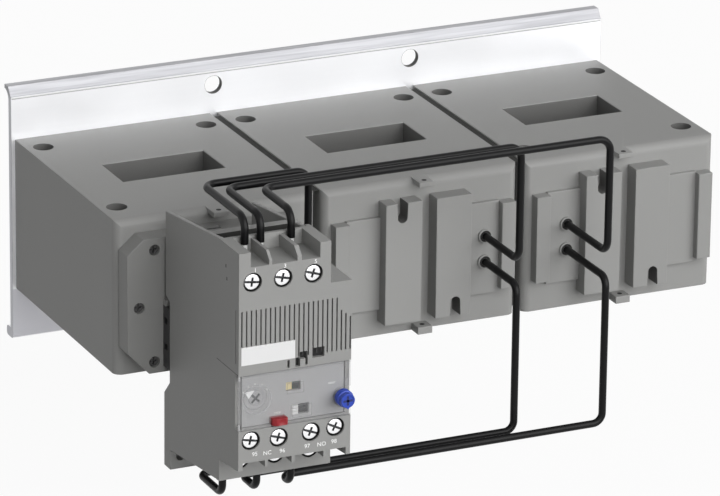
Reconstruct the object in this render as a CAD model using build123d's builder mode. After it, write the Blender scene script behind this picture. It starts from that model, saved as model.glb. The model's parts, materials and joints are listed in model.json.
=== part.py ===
from build123d import *

import os

# Electronic overload relay on an adapter in front of the first of three block-type current
# transformers, all carried by one aluminium mounting plate and joined by six formed leads.
# All sizes are in millimetres. +X runs right along the plate, +Y back into the panel, +Z up.
# The origin is at the centre of the plate's four fixing holes, on the back face of its web.

# Transformer blocks
ct_count = 3
ct_width = 82.0
ct_gap = 3.0
ct_depth = 101.0
ct_height = 61.5
ct_wall = 2.5
ct_rear_wall = 3.0
ct_edge_radius = 3.5
window_width = 42.2
window_depth = 21.5
window_wall = 2.0
tie_hole_radius = 4.0
tie_hole_depth = 14.0
tie_column_radius = 5.6
tie_shank_radius = 2.0
tie_head_radius = 3.4
tie_head_height = 3.5
tie_side = 6.9
tie_back = 12.4
tie_front = 14.9
base_thickness = 3.0
inset_clearance = 0.2

# Raised shapes on a block's front, from its left and lower edges
slot_rib_left = 23.25
slot_rib_width = 15.25
slot_rib_standout = 6.8
plain_rib_left = 44.45
plain_rib_width = 14.85
plain_rib_standout = 7.05
rib_bottom = 6.0
rib_top = 54.8
rib_slot_width = 4.0
rib_slot_height = 7.9
slot_rib_notch = 30.2
plain_rib_notch = 52.9
end_block_left = 3.35
end_block_width = 5.9
end_block_right_inset = 8.6
end_block_standout = 4.7
end_block_bottom = 13.0
end_block_top = 48.1
panel_standout = 1.7
panel_bottom = 11.0
panel_top = 48.5
tab_left = 37.7
tab_width = 6.2
tab_hole_radius = 0.8
upper_tab_standout = 5.5
upper_tab_thickness = 2.0
lower_tab_standout = 6.0
lower_tab_thickness = 3.0
lead_hole_upper = 34.8
lead_hole_lower = 24.35
lead_hole_right_inset = 14.5
lead_hole_left = 17.5

# Core and winding inside each block
core_half_width = 24.0
core_half_depth = 17.0
core_limb = 9.5
core_height = 32.0
core_support_x = 28.75
core_support_y = 15.0
core_support_width = 6.0
core_support_length = 8.0
winding_build = 3.7
winding_length = 42.0

# Mounting plate
plate_standoff = 6.5
plate_web = 2.5
plate_height = 103.2
plate_overhang = 1.5
plate_hole_radius = 3.75
plate_hole_pitch_x = 85.0
plate_hole_pitch_z = 84.4
lip_drop = 3.4
lip_ledge = 0.4
lip_lean = 2.3
lip_tip = 1.6
lip_fillet_depth = 6.1
lip_land = 0.25
lip_arc_depth = 0.78
lip_arc_drop = 0.3
bead_height = 4.0
bead_radius = 1.4
fixing_x = 22.0
fixing_z = 18.0
fixing_radius = 1.5
fixing_head_radius = 3.4
fixing_head_height = 2.2
fixing_boss_radius = 3.4
fixing_boss_depth = 6.0

# Adapter plate and the carrier between it and the relay
adapter_thickness = 8.5
adapter_left = 1.4
adapter_width = 74.6
adapter_bottom = 2.2
adapter_top = 56.0
adapter_top_chamfer = (6.5, 5.6)
adapter_low_chamfer = (8.9, 9.5)
adapter_pocket_gap = 0.3
adapter_hole_radius = 2.2
adapter_hole_depth = 3.5
adapter_hole_inset = 11.0
adapter_mid_inset = 4.8
adapter_hole_z = (6.8, 29.1, 51.4)
adapter_notch_width = 12.4
adapter_notch_height = 20.0
adapter_slot = (34.0, 6.0, 2.5, 6.0)
small_shank_radius = 1.4
carrier_thickness = 5.2
carrier_overlap = 0.3
carrier_bottom = 4.8
carrier_top = 29.3
carrier_screw_x = 41.5
carrier_screw_z = (10.2, 24.3)
ledge_height = 2.4
ledge_depth = 2.6
hook_pitch = 24.0
hook_width = 6.0
hook_height = 3.0
hook_length = 2.0
hook_z = 18.8

# Relay module: across from its left side, deep from its front face, up from the cover's edge
relay_left = 16.2
relay_width = 45.0
relay_depth = 69.5
relay_zero_z = -27.15
relay_split = 20.0
side_wall = 1.8
shoulder_x = 36.5
shoulder_z = 53.0
head_top = 69.3
head_depth = 18.0
side_top = ((20.0, 69.06), (45.8, 66.0), (68.2, 63.2))
right_wall_top = ((20.0, 68.0), (69.7, 61.5))
rear_upper = (68.2, 30.0)
rear_lower = (64.3, 28.4)
foot_start = (64.3, -3.9)
foot_rear = (69.5, -9.4)
foot_bottom = -38.9
foot_front = 63.5
under_side = ((63.5, -31.0), (41.0, -28.2), (20.0, -26.05))
lower_front = 17.5
lower_front_bottom = -25.8
overhang_front = -15.5
overhang_rear = -17.25
face_bottom = -12.6
foot_width = 12.0
foot_slot = (4.2, -33.1)
foot_slot_size = (3.5, 5.2)
deck_z = 40.0
deck_thickness = 2.0
ridge_top = 66.5
ridge_thickness = 1.6
base_floor = -24.0
base_rear = 62.0
front_cavity_depth = 4.5
front_cavity_bottom = -9.5
front_cavity_top = 50.2
top_cavity_depth = 5.0
top_cavity_bottom = 52.8
top_cavity_top = 61.4

# Wire chambers and terminals
chambers = ((4.6, 11.9), (13.0, 23.1), (24.8, 32.2))
chamber_floor = 63.5
chamber_back = 16.5
divider_top = 68.3
divider_chamfer = 3.0
top_screw_x = (5.4, 17.5, 29.6)
top_screw_z = 57.6
top_clamp_left = (2.4, 13.5, 25.6)
top_clamp_width = 8.0
top_clamp_rear = 17.5
aux_left_screws = ((5.0, -4.1), (16.2, -4.6))
aux_right_screws = ((15.9, -4.4), (6.1, -4.0))
aux_ribs = (10.7, 21.4)
aux_right_rib = 10.8
aux_rib_width = 1.2
aux_rib_depth = 12.0
aux_rib_drop = 2.6
aux_clamp_half = 3.2
aux_clamp_rear = 12.5
aux_clamp_top = -0.3
aux_entry = 5.0
bottom_screw_pitch = 13.9
bottom_screw_z = -18.5
bottom_clamp_half = 4.2
bottom_clamp_rear = 38.0
bottom_clamp_top = -14.0
screw_head_radius = 3.0
screw_head_height = 1.8
screw_recess_radius = 3.7
screw_recess_depth = 2.4
screw_cross = 0.7
entry_size = 4.0

# Front field
groove_count = 21
groove_first = 1.2
groove_pitch = 1.895
groove_width = 0.55
groove_depth = 1.1
groove_top = 46.8
groove_bottom = 26.0
short_groove_tops = (41.7, 40.3, 38.9)
short_groove_pitch = 1.8
side_groove_depth_at = 2.5
label_left = 1.0
label_width = 21.4
label_bottom = 25.8
label_height = 7.0
label_thickness = 0.6
label_proud = 0.15
slot_cuts = (
    (19.4, 20.3, 22.3, 25.2),
    (22.6, 24.5, 22.2, 25.8),
    (24.3, 27.4, 25.0, 27.8),
    (26.6, 27.5, 22.4, 25.2),
    (29.4, 34.2, 24.7, 28.6),
)
slot_cut_depth = 1.6

# Cover and control panel
cover_height = 21.7
cover_thickness = 1.1
cover_seat = 1.4
cover_gap = 0.3
hinge_x = 0.8
hinge_depth = 1.3
knuckle_radius = 0.8
knuckle_height = 2.0
hinge_pin_radius = 0.4
hinge_pin_length = 2.5
hinge_groove = 1.9
seal_slot_width = 1.5
seal_slot_inset = 1.0
seal_slot_low = 14.5
seal_slot_high = 19.1
panel_front = 1.9
panel_back = 3.1
panel_left = 2.2
panel_right_inset = 2.0
panel_low = 0.9
panel_high = 20.8
panel_rim = 0.8
running_gap = 0.08
free_gap = 0.3

# Controls
dial_x = 7.4
dial_z = 11.7
dial_radius = 4.6
dial_front = 1.7
dial_back = 2.9
dial_hub_radius = 2.7
dial_hub_front = 1.45
dial_stem_radius = 1.5
dial_stem_end = 8.0
pointer_shape = ((-3.3, 2.9), (-0.3, 3.3), (-2.4, 0.3))
pot_half = 5.0
pot_front = 5.2
reset_inset = 3.5
reset_z = 7.8
reset_base_radius = 3.3
reset_tip_radius = 2.8
reset_front = -5.5
reset_step = -3.2
reset_rear = -0.4
reset_travel = 1.5
reset_stem_radius = 0.9
reset_stem_front = -3.5
reset_stem_end = 11.5
collar_radius = 1.4
collar_front = 7.2
collar_back = 8.0
spring_radius = 1.2
spring_wire = 0.2
spring_coils = 5
stop_left = 13.3
stop_right = 19.3
stop_low = 0.6
stop_high = 3.4
stop_front = -1.5
stop_back = 6.0
stop_flange = 0.7
flag_left = 19.0
flag_right = 22.7
flag_low = 11.9
flag_high = 16.3
flag_front = 3.4
flag_back = 4.4
window_span = (19.7, 25.6, 12.4, 15.8)
trip_travel = 2.9
trip_stem = (20.2, 21.6, 13.4, 14.8)
trip_axis_z = 14.1
trip_axis_depth = 22.0
plunger_radius = 1.9
plunger_rest = 4.0
coil_right_inset = 5.0
coil_length = 12.0
coil_half = 6.4
dip_window = (22.0, 28.9, 2.7, 6.7)
dip_body = (21.3, 29.7, 1.9, 7.4)
dip_lever_length = 2.5
dip_lever_height = 1.0
dip_pitch = 1.27
dip_front = 1.6
dip_body_front = 3.4
dip_lever_back = 5.0
board_front = 14.0
board_back = 15.6
board_bottom = 0.4

# Contacts behind the board
carrier_bar = (8.0, 36.0, 26.0, 31.0)
carrier_bar_front = 19.6
carrier_bar_back = 24.0
guide_pin_x = (11.0, 33.0)
guide_pin_radius = 1.2
guide_pin_front = 10.5
contact_z = 28.5
bridge_centres = (17.0, 27.0)
bridge_half = 3.5
bridge_thickness = 0.8
contact_reach = 2.3
contact_radius = 0.9
fixed_contact_end = 17.7

# Leads
lead_radius = 1.45
wire_radius = 1.0
tail_radius = 0.8
upper_bend = 5.0
lower_bend = 4.0
tail_bend = 1.2
upper_lead_x = (8.6, 14.9, 27.1)
upper_lead_depth = 14.7
upper_lead_end = 67.1
upper_wire_end = 54.6
upper_run_z = 50.05
upper_run_depth = (53.1, 46.7, 41.6)
lower_lead_depth = 34.1
lower_lead_end = -25.0
lower_wire_end = -17.0
lower_run_z = -65.85
lower_run_depth = (55.6, 48.1, 42.2)
lead_insert = 6.5
grommet_radius = 2.9
grommet_sleeve = 2.3
grommet_standout = 0.8

# Worked-out places
ct_pitch = ct_width + ct_gap
row_width = ct_count * ct_width + (ct_count - 1) * ct_gap
ct_back_y = -plate_web
plate_rear_y = ct_back_y + plate_standoff
ct_front_y = ct_back_y - ct_depth
ct_mid_y = (ct_back_y + ct_front_y) / 2
ct_low_z = -ct_height / 2
ct_high_z = ct_height / 2
base_top_z = ct_low_z + base_thickness
adapter_front_y = ct_front_y - adapter_thickness
adapter_left_x = -row_width / 2 + adapter_left
adapter_right_x = adapter_left_x + adapter_width
carrier_front_y = adapter_front_y - carrier_thickness
relay_left_x = -row_width / 2 + relay_left
relay_front_y = adapter_front_y - relay_depth
end_block_right = ct_width - end_block_right_inset
lead_hole_right = ct_width - lead_hole_right_inset
coil_span = (
    relay_width - coil_right_inset - coil_length,
    relay_width - coil_right_inset,
)
plunger_end = coil_span[1] - plunger_rest
panel_right = relay_width - panel_right_inset
seal_slot_right = relay_width - seal_slot_inset
reset_x = relay_width - reset_inset
aux_screw = (
    *aux_left_screws,
    *((relay_width - inset, height) for inset, height in aux_right_screws),
)
aux_rib_left = (*aux_ribs, relay_width - aux_right_rib)
bottom_screw_x = tuple(relay_width / 2 + k * bottom_screw_pitch for k in (-1, 0, 1))
fixing_tip_y = ct_back_y - ct_rear_wall - fixing_boss_depth + 1.0
lead_hole_x = tuple(
    lead_hole_left if index == ct_count - 1 else lead_hole_right for index in range(ct_count)
)
adapter_screw_places = tuple(
    (x, ct_low_z + z)
    for x, z in (
        (adapter_left_x + adapter_hole_inset, adapter_hole_z[0]),
        (adapter_left_x + adapter_mid_inset, adapter_hole_z[1]),
        (adapter_left_x + adapter_hole_inset, adapter_hole_z[2]),
        (adapter_right_x - adapter_hole_inset, adapter_hole_z[0]),
        (adapter_right_x - adapter_hole_inset, adapter_hole_z[2]),
    )
)
carrier_screw_places = tuple(
    (-row_width / 2 + carrier_screw_x, ct_low_z + z) for z in carrier_screw_z
)

os.makedirs("parts", exist_ok=True)


def ct_left_x(index):
    """Left side of one transformer block."""
    return -row_width / 2 + index * ct_pitch


def rx(value):
    """World X of a distance from the relay's left side."""
    return relay_left_x + value


def ry(value):
    """World Y of a depth behind the relay's front face."""
    return relay_front_y + value


def rz(value):
    """World Z of a height in the relay."""
    return relay_zero_z + value


def facing(y):
    """Upright plane at the given Y that looks to the front."""
    return Plane.XZ.offset(-y)


def block(x_span, y_span, z_span, mode=Mode.ADD):
    """Box between two X, two Y and two Z values."""
    with BuildSketch(Plane.XY.offset(z_span[0])) as outline:
        with Locations(((x_span[0] + x_span[1]) / 2, (y_span[0] + y_span[1]) / 2)):
            Rectangle(x_span[1] - x_span[0], y_span[1] - y_span[0])
    extrude(outline.sketch, amount=z_span[1] - z_span[0], mode=mode)


def relay_block(x_span, depth_span, z_span, mode=Mode.ADD):
    """Box in the relay's own distances."""
    block(
        (rx(x_span[0]), rx(x_span[1])),
        (ry(depth_span[0]), ry(depth_span[1])),
        (rz(z_span[0]), rz(z_span[1])),
        mode,
    )


def bar(places, y_front, y_back, radius, mode=Mode.ADD):
    """Round bars along Y at the given X and Z places."""
    with BuildSketch(facing(y_back)) as outline:
        with Locations(*places):
            Circle(radius)
    extrude(outline.sketch, amount=y_back - y_front, mode=mode)


def relay_bar(x, z, depth_front, depth_back, radius, mode=Mode.ADD):
    """Round bar along Y in the relay's own distances."""
    bar([(rx(x), rz(z))], ry(depth_front), ry(depth_back), radius, mode)


def post(places, z_low, z_high, radius, mode=Mode.ADD):
    """Round posts along Z at the given X and Y places."""
    with BuildSketch(Plane.XY.offset(z_low)) as outline:
        with Locations(*places):
            Circle(radius)
    extrude(outline.sketch, amount=z_high - z_low, mode=mode)


def side_shape(points, x_low, x_high, mode=Mode.ADD):
    """Closed outline of Y and Z points, extruded between two X values."""
    with BuildSketch(Plane.YZ.offset(x_low)) as outline:
        with BuildLine():
            Polyline(*points, close=True)
        make_face()
    extrude(outline.sketch, amount=x_high - x_low, mode=mode)


def relay_side_shape(points, x_low, x_high, mode=Mode.ADD):
    """Closed outline of depth and height points, extruded between two relay distances."""
    side_shape([(ry(depth), rz(height)) for depth, height in points], rx(x_low), rx(x_high), mode)


def screws(places, y_head, y_seat, y_tip, head_radius, shank_radius, cross):
    """Screws along Y whose heads carry a cross recess."""
    bar(places, y_head, y_seat, head_radius)
    bar(places, y_seat, y_tip, shank_radius)
    with BuildSketch(facing(y_head + (y_seat - y_head) / 2)) as recess:
        with Locations(*places):
            Rectangle(head_radius * 1.3, cross)
            Rectangle(cross, head_radius * 1.3)
    extrude(recess.sketch, amount=y_seat - y_head, mode=Mode.SUBTRACT)


def save(part, name):
    """Label one finished piece and write it."""
    part.label = name
    export_step(part, f"parts/{name}.step")


def fixing_places(index):
    """Screw places in the back of one transformer block."""
    middle = ct_left_x(index) + ct_width / 2
    return [(middle + sx * fixing_x, sz * fixing_z) for sx in (-1, 1) for sz in (-1, 1)]


def tie_places(index):
    """Centres of the upright corner holes of one transformer block."""
    left = ct_left_x(index)
    return [
        (x, y)
        for x in (left + tie_side, left + ct_width - tie_side)
        for y in (ct_back_y - tie_back, ct_front_y + tie_front)
    ]


all_fixing_places = [place for index in range(ct_count) for place in fixing_places(index)]
all_tie_places = [place for index in range(ct_count) for place in tie_places(index)]

# Mounting plate: an extruded section with a lip above and a rounded bead below
with BuildPart() as mounting_plate:
    plate_half = row_width / 2 + plate_overhang
    plate_top = plate_height / 2
    web_back = ct_back_y + plate_web
    lip_reach = plate_rear_y - web_back
    with BuildSketch(Plane.YZ.offset(-plate_half)) as section:
        with BuildLine():
            Polyline(
                (web_back, -plate_top + bead_height / 2),
                (ct_back_y, -plate_top + bead_height / 2),
                (ct_back_y, plate_top - lip_drop),
                (ct_back_y + lip_ledge, plate_top - lip_drop),
                (ct_back_y + lip_ledge + lip_lean, plate_top),
                (plate_rear_y, plate_top),
                (plate_rear_y, plate_top - lip_tip),
                (plate_rear_y - lip_reach * lip_land, plate_top - lip_tip),
            )
            ThreePointArc(
                (plate_rear_y - lip_reach * lip_land, plate_top - lip_tip),
                (
                    plate_rear_y - lip_reach * lip_arc_depth,
                    plate_top - lip_tip - lip_arc_drop * (lip_fillet_depth - lip_tip),
                ),
                (web_back, plate_top - lip_fillet_depth),
            )
            Line(
                (web_back, plate_top - lip_fillet_depth),
                (web_back, -plate_top + bead_height / 2),
            )
        make_face()
        with Locations((plate_rear_y - plate_standoff / 2, -plate_top + bead_height / 2)):
            RectangleRounded(plate_standoff, bead_height, bead_radius)
    extrude(section.sketch, amount=2 * plate_half)
    with BuildSketch(facing(plate_rear_y)) as holes:
        with GridLocations(plate_hole_pitch_x, plate_hole_pitch_z, 2, 2):
            Circle(plate_hole_radius)
    extrude(holes.sketch, amount=plate_standoff, mode=Mode.SUBTRACT)
    bar(all_fixing_places, ct_back_y, web_back, fixing_radius + free_gap / 2, Mode.SUBTRACT)
save(mounting_plate.part, "mounting_plate")

# Screws that hold the three blocks to the plate, put in from behind
with BuildPart() as plate_screws:
    bar(all_fixing_places, web_back, web_back + fixing_head_height, fixing_head_radius)
    bar(all_fixing_places, fixing_tip_y, web_back, fixing_radius)
    with BuildSketch(facing(web_back + fixing_head_height)) as hexagons:
        with Locations(*all_fixing_places):
            RegularPolygon(radius=fixing_radius, side_count=6)
    extrude(hexagons.sketch, amount=fixing_head_height / 2, mode=Mode.SUBTRACT)
save(plate_screws.part, "plate_screws")


def ct_front_shapes(index):
    """Ribs, end blocks, raised panels and tabs on the front of one transformer block."""
    left = ct_left_x(index)

    def raised(x_low, width, standout, z_low, z_high):
        block(
            (left + x_low, left + x_low + width),
            (ct_front_y - standout, ct_front_y + ct_wall / 2),
            (ct_low_z + z_low, ct_low_z + z_high),
        )

    first_panel = end_block_left + end_block_width
    last_panel = plain_rib_left + plain_rib_width
    raised(first_panel, slot_rib_left - first_panel, panel_standout, panel_bottom, panel_top)
    raised(last_panel, end_block_right - last_panel, panel_standout, panel_bottom, panel_top)
    for start in (end_block_left, end_block_right):
        raised(start, end_block_width, end_block_standout, end_block_bottom, end_block_top)
    raised(slot_rib_left, slot_rib_width, slot_rib_standout, rib_bottom, rib_top)
    raised(plain_rib_left, plain_rib_width, plain_rib_standout, rib_bottom, rib_top)
    raised(tab_left, tab_width, lower_tab_standout, 0, lower_tab_thickness)
    block(
        (left + tab_left, left + tab_left + tab_width),
        (ct_front_y - upper_tab_standout, ct_front_y + ct_edge_radius),
        (ct_high_z - upper_tab_thickness, ct_high_z),
    )
    post(
        [(left + tab_left + tab_width / 2, ct_front_y - upper_tab_standout / 2)],
        ct_high_z - upper_tab_thickness,
        ct_high_z,
        tab_hole_radius,
        Mode.SUBTRACT,
    )
    post(
        [(left + tab_left + tab_width / 2, ct_front_y - lower_tab_standout / 2)],
        ct_low_z,
        ct_low_z + lower_tab_thickness,
        tab_hole_radius,
        Mode.SUBTRACT,
    )
    for middle, z_round, z_open in (
        (slot_rib_notch, rib_top - rib_slot_height, rib_top),
        (plain_rib_notch, rib_bottom + rib_slot_height, rib_bottom),
    ):
        z_inner = z_round + rib_slot_width / 2 * (1 if z_open > z_round else -1)
        with BuildSketch(facing(ct_front_y)) as notch:
            with Locations((left + middle, ct_low_z + z_inner)):
                Circle(rib_slot_width / 2)
            with Locations((left + middle, ct_low_z + (z_inner + z_open) / 2)):
                Rectangle(rib_slot_width, abs(z_open - z_inner))
        extrude(notch.sketch, amount=plain_rib_standout, mode=Mode.SUBTRACT)


def ct_housing(index):
    """Shell of one transformer block, open below, with its window tube and corner columns."""
    left = ct_left_x(index)
    right = left + ct_width
    middle = left + ct_width / 2
    with BuildPart() as housing:
        block((left, right), (ct_front_y, ct_back_y), (ct_low_z, ct_high_z))
        front_edges = housing.edges().group_by(Axis.Y)[0]
        upright = front_edges.filter_by(Axis.Z)
        top_front = front_edges.filter_by(Axis.X).sort_by(Axis.Z)[-1:]
        fillet(upright + top_front, ct_edge_radius)
        block(
            (left + ct_wall, right - ct_wall),
            (ct_front_y + ct_wall, ct_back_y - ct_rear_wall),
            (ct_low_z, ct_high_z - ct_wall),
            Mode.SUBTRACT,
        )
        block(
            (middle - window_width / 2 - window_wall, middle + window_width / 2 + window_wall),
            (ct_mid_y - window_depth / 2 - window_wall, ct_mid_y + window_depth / 2 + window_wall),
            (ct_low_z, ct_high_z - ct_wall),
        )
        for sx in (-1, 1):
            for sy in (-1, 1):
                support_x = middle + sx * core_support_x
                support_y = ct_mid_y + sy * core_support_y
                block(
                    (support_x - core_support_width / 2, support_x + core_support_width / 2),
                    (support_y - core_support_length / 2, support_y + core_support_length / 2),
                    (core_height / 2, ct_high_z - ct_wall),
                )
        post(tie_places(index), base_top_z, ct_high_z - ct_wall, tie_column_radius)
        bar(
            fixing_places(index),
            ct_back_y - ct_rear_wall - fixing_boss_depth,
            ct_back_y - ct_rear_wall,
            fixing_boss_radius,
        )
        block(
            (middle - window_width / 2, middle + window_width / 2),
            (ct_mid_y - window_depth / 2, ct_mid_y + window_depth / 2),
            (ct_low_z, ct_high_z),
            Mode.SUBTRACT,
        )
        post(
            tie_places(index),
            base_top_z,
            ct_high_z,
            tie_shank_radius + free_gap / 3,
            Mode.SUBTRACT,
        )
        post(
            tie_places(index), ct_high_z - tie_hole_depth, ct_high_z, tie_hole_radius, Mode.SUBTRACT
        )
        bar(fixing_places(index), fixing_tip_y, ct_back_y, fixing_radius, Mode.SUBTRACT)
        ct_front_shapes(index)
        lead_places = [
            (left + lead_hole_x[index], ct_low_z + height)
            for height in (lead_hole_upper, lead_hole_lower)
        ]
        bar(
            lead_places,
            ct_front_y - panel_standout,
            ct_front_y + ct_wall,
            grommet_sleeve,
            Mode.SUBTRACT,
        )
        if index == 0:
            bar(
                adapter_screw_places,
                ct_front_y - end_block_standout,
                ct_front_y + ct_wall,
                small_shank_radius,
                Mode.SUBTRACT,
            )
    return housing.part


def ct_base(index):
    """Lower cover of one transformer block, with the posts that carry the core."""
    left = ct_left_x(index)
    middle = left + ct_width / 2
    tube_x = window_width / 2 + window_wall + inset_clearance
    tube_y = window_depth / 2 + window_wall + inset_clearance
    with BuildPart() as base:
        block(
            (left + ct_wall + inset_clearance, left + ct_width - ct_wall - inset_clearance),
            (
                ct_front_y + ct_wall + inset_clearance,
                ct_back_y - ct_rear_wall - inset_clearance,
            ),
            (ct_low_z, base_top_z),
        )
        block(
            (middle - tube_x, middle + tube_x),
            (ct_mid_y - tube_y, ct_mid_y + tube_y),
            (ct_low_z, base_top_z),
            Mode.SUBTRACT,
        )
        for sx in (-1, 1):
            for sy in (-1, 1):
                support_x = middle + sx * core_support_x
                support_y = ct_mid_y + sy * core_support_y
                block(
                    (support_x - core_support_width / 2, support_x + core_support_width / 2),
                    (support_y - core_support_length / 2, support_y + core_support_length / 2),
                    (base_top_z, -core_height / 2),
                )
        post(tie_places(index), ct_low_z, base_top_z, tie_shank_radius, Mode.SUBTRACT)
    return base.part


def ct_core(index):
    """Ring core around the window of one transformer block."""
    with BuildPart() as core:
        with BuildSketch(Plane.XY.offset(-core_height / 2)) as ring:
            with Locations((ct_left_x(index) + ct_width / 2, ct_mid_y)):
                Rectangle(2 * (core_half_width + core_limb), 2 * (core_half_depth + core_limb))
                Rectangle(2 * core_half_width, 2 * core_half_depth, mode=Mode.SUBTRACT)
        extrude(ring.sketch, amount=core_height)
    return core.part


def ct_winding(index):
    """Secondary winding wrapped round the front limb of the core."""
    middle = ct_left_x(index) + ct_width / 2
    limb_y = ct_mid_y - core_half_depth - core_limb / 2
    with BuildPart() as winding:
        with BuildSketch(Plane.YZ.offset(middle - winding_length / 2)) as turns:
            with Locations((limb_y, 0)):
                RectangleRounded(
                    core_limb + 2 * winding_build, core_height + 2 * winding_build, winding_build / 2
                )
                Rectangle(core_limb, core_height, mode=Mode.SUBTRACT)
        extrude(turns.sketch, amount=winding_length)
    return winding.part


for ct_index in range(ct_count):
    save(ct_housing(ct_index), f"ct_housing_{ct_index + 1}")
    save(ct_base(ct_index), f"ct_base_{ct_index + 1}")
    save(ct_core(ct_index), f"ct_core_{ct_index + 1}")
    save(ct_winding(ct_index), f"ct_winding_{ct_index + 1}")

# Long screws sunk in the corner holes that pull the lower covers up
with BuildPart() as ct_screws:
    tie_seat_z = ct_high_z - tie_hole_depth
    post(all_tie_places, tie_seat_z, tie_seat_z + tie_head_height, tie_head_radius)
    post(all_tie_places, ct_low_z + 0.5, tie_seat_z, tie_shank_radius)
    with BuildSketch(Plane.XY.offset(tie_seat_z + tie_head_height / 2)) as sockets:
        with Locations(*all_tie_places):
            RegularPolygon(radius=tie_shank_radius, side_count=6)
    extrude(sockets.sketch, amount=tie_head_height / 2, mode=Mode.SUBTRACT)
save(ct_screws.part, "ct_screws")

lead_places = [
    (ct_left_x(index) + lead_hole_x[index], ct_low_z + height)
    for index in range(ct_count)
    for height in (lead_hole_upper, lead_hole_lower)
]
with BuildPart() as lead_grommets:
    collar_y = ct_front_y - panel_standout
    bar(lead_places, collar_y - grommet_standout, collar_y, grommet_radius)
    bar(lead_places, collar_y, ct_front_y + ct_wall, grommet_sleeve)
    bar(
        lead_places,
        collar_y - grommet_standout,
        ct_front_y + ct_wall,
        lead_radius,
        Mode.SUBTRACT,
    )
save(lead_grommets.part, "lead_grommets")


def wire(points, radius, bend):
    """Round wire along straight runs joined by tangent bends."""
    direction = Vector(*points[1]) - Vector(*points[0])
    with BuildLine() as route:
        FilletPolyline(*points, radius=bend)
    with BuildSketch(Plane(origin=points[0], z_dir=direction)) as section:
        Circle(radius)
    sweep(section.sketch, path=route.line)


# Fine wires from the ends of the leads to the windings
with BuildPart() as winding_tails:
    tail_start_y = ct_front_y + lead_insert
    tail_y = ct_mid_y - core_half_depth - core_limb - winding_build / 2
    for index in range(ct_count):
        middle = ct_left_x(index) + ct_width / 2
        hole_x = ct_left_x(index) + lead_hole_x[index]
        end_x = middle + winding_length / 2 * (1 if hole_x > middle else -1)
        for height in (lead_hole_upper, lead_hole_lower):
            z = ct_low_z + height
            wire(
                [(hole_x, tail_start_y, z), (hole_x, tail_y, z), (end_x, tail_y, z)],
                tail_radius,
                tail_bend,
            )
save(winding_tails.part, "winding_tails")

# Adapter plate, hollowed at the back where the block's raised shapes stand into it
with BuildPart() as adapter_plate:
    adapter_low_z = ct_low_z + adapter_bottom
    adapter_high_z = ct_low_z + adapter_top
    with BuildSketch(facing(ct_front_y)) as outline:
        with BuildLine():
            Polyline(
                (adapter_left_x, adapter_low_z + adapter_low_chamfer[1]),
                (adapter_left_x, adapter_high_z - adapter_top_chamfer[1]),
                (adapter_left_x + adapter_top_chamfer[0], adapter_high_z),
                (adapter_right_x - adapter_top_chamfer[0], adapter_high_z),
                (adapter_right_x, adapter_high_z - adapter_top_chamfer[1]),
                (adapter_right_x, adapter_low_z + adapter_low_chamfer[1]),
                (adapter_right_x - adapter_low_chamfer[0], adapter_low_z),
                (adapter_left_x + adapter_low_chamfer[0], adapter_low_z),
                close=True,
            )
        make_face()
    extrude(outline.sketch, amount=adapter_thickness)
    first_left = ct_left_x(0)
    lead_middle_z = ct_low_z + (lead_hole_upper + lead_hole_lower) / 2
    for start, width, low, high, standout in (
        (end_block_left, end_block_width, end_block_bottom, end_block_top, end_block_standout),
        (end_block_right, end_block_width, end_block_bottom, end_block_top, end_block_standout),
        (end_block_left, slot_rib_left - end_block_left, panel_bottom, panel_top, panel_standout),
        (plain_rib_left, end_block_right - plain_rib_left, panel_bottom, panel_top, panel_standout),
        (slot_rib_left, slot_rib_width, rib_bottom, rib_top, slot_rib_standout),
        (plain_rib_left, plain_rib_width, rib_bottom, rib_top, plain_rib_standout),
        (tab_left, tab_width, 0, lower_tab_thickness, lower_tab_standout),
    ):
        block(
            (
                first_left + start - adapter_pocket_gap,
                first_left + start + width + adapter_pocket_gap,
            ),
            (ct_front_y - standout - adapter_pocket_gap, ct_front_y),
            (ct_low_z + low - adapter_pocket_gap, ct_low_z + high + adapter_pocket_gap),
            Mode.SUBTRACT,
        )
    block(
        (adapter_right_x - adapter_notch_width, adapter_right_x),
        (adapter_front_y, ct_front_y),
        (
            lead_middle_z - adapter_notch_height / 2,
            lead_middle_z + adapter_notch_height / 2,
        ),
        Mode.SUBTRACT,
    )
    slot_left, slot_width, slot_length, slot_depth = adapter_slot
    block(
        (first_left + slot_left, first_left + slot_left + slot_width),
        (adapter_front_y + 1.2, adapter_front_y + 1.2 + slot_length),
        (adapter_high_z - slot_depth, adapter_high_z),
        Mode.SUBTRACT,
    )
    bar(
        adapter_screw_places,
        adapter_front_y,
        adapter_front_y + adapter_hole_depth,
        adapter_hole_radius,
        Mode.SUBTRACT,
    )
    bar(adapter_screw_places, adapter_front_y, ct_front_y, small_shank_radius, Mode.SUBTRACT)
    bar(carrier_screw_places, adapter_front_y, ct_front_y - 1, small_shank_radius, Mode.SUBTRACT)
    block(
        (rx(-carrier_overlap), rx(relay_width + carrier_overlap)),
        (adapter_front_y - ledge_depth, adapter_front_y),
        (ct_low_z + carrier_top, ct_low_z + carrier_top + ledge_height),
    )
save(adapter_plate.part, "adapter_plate")

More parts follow.
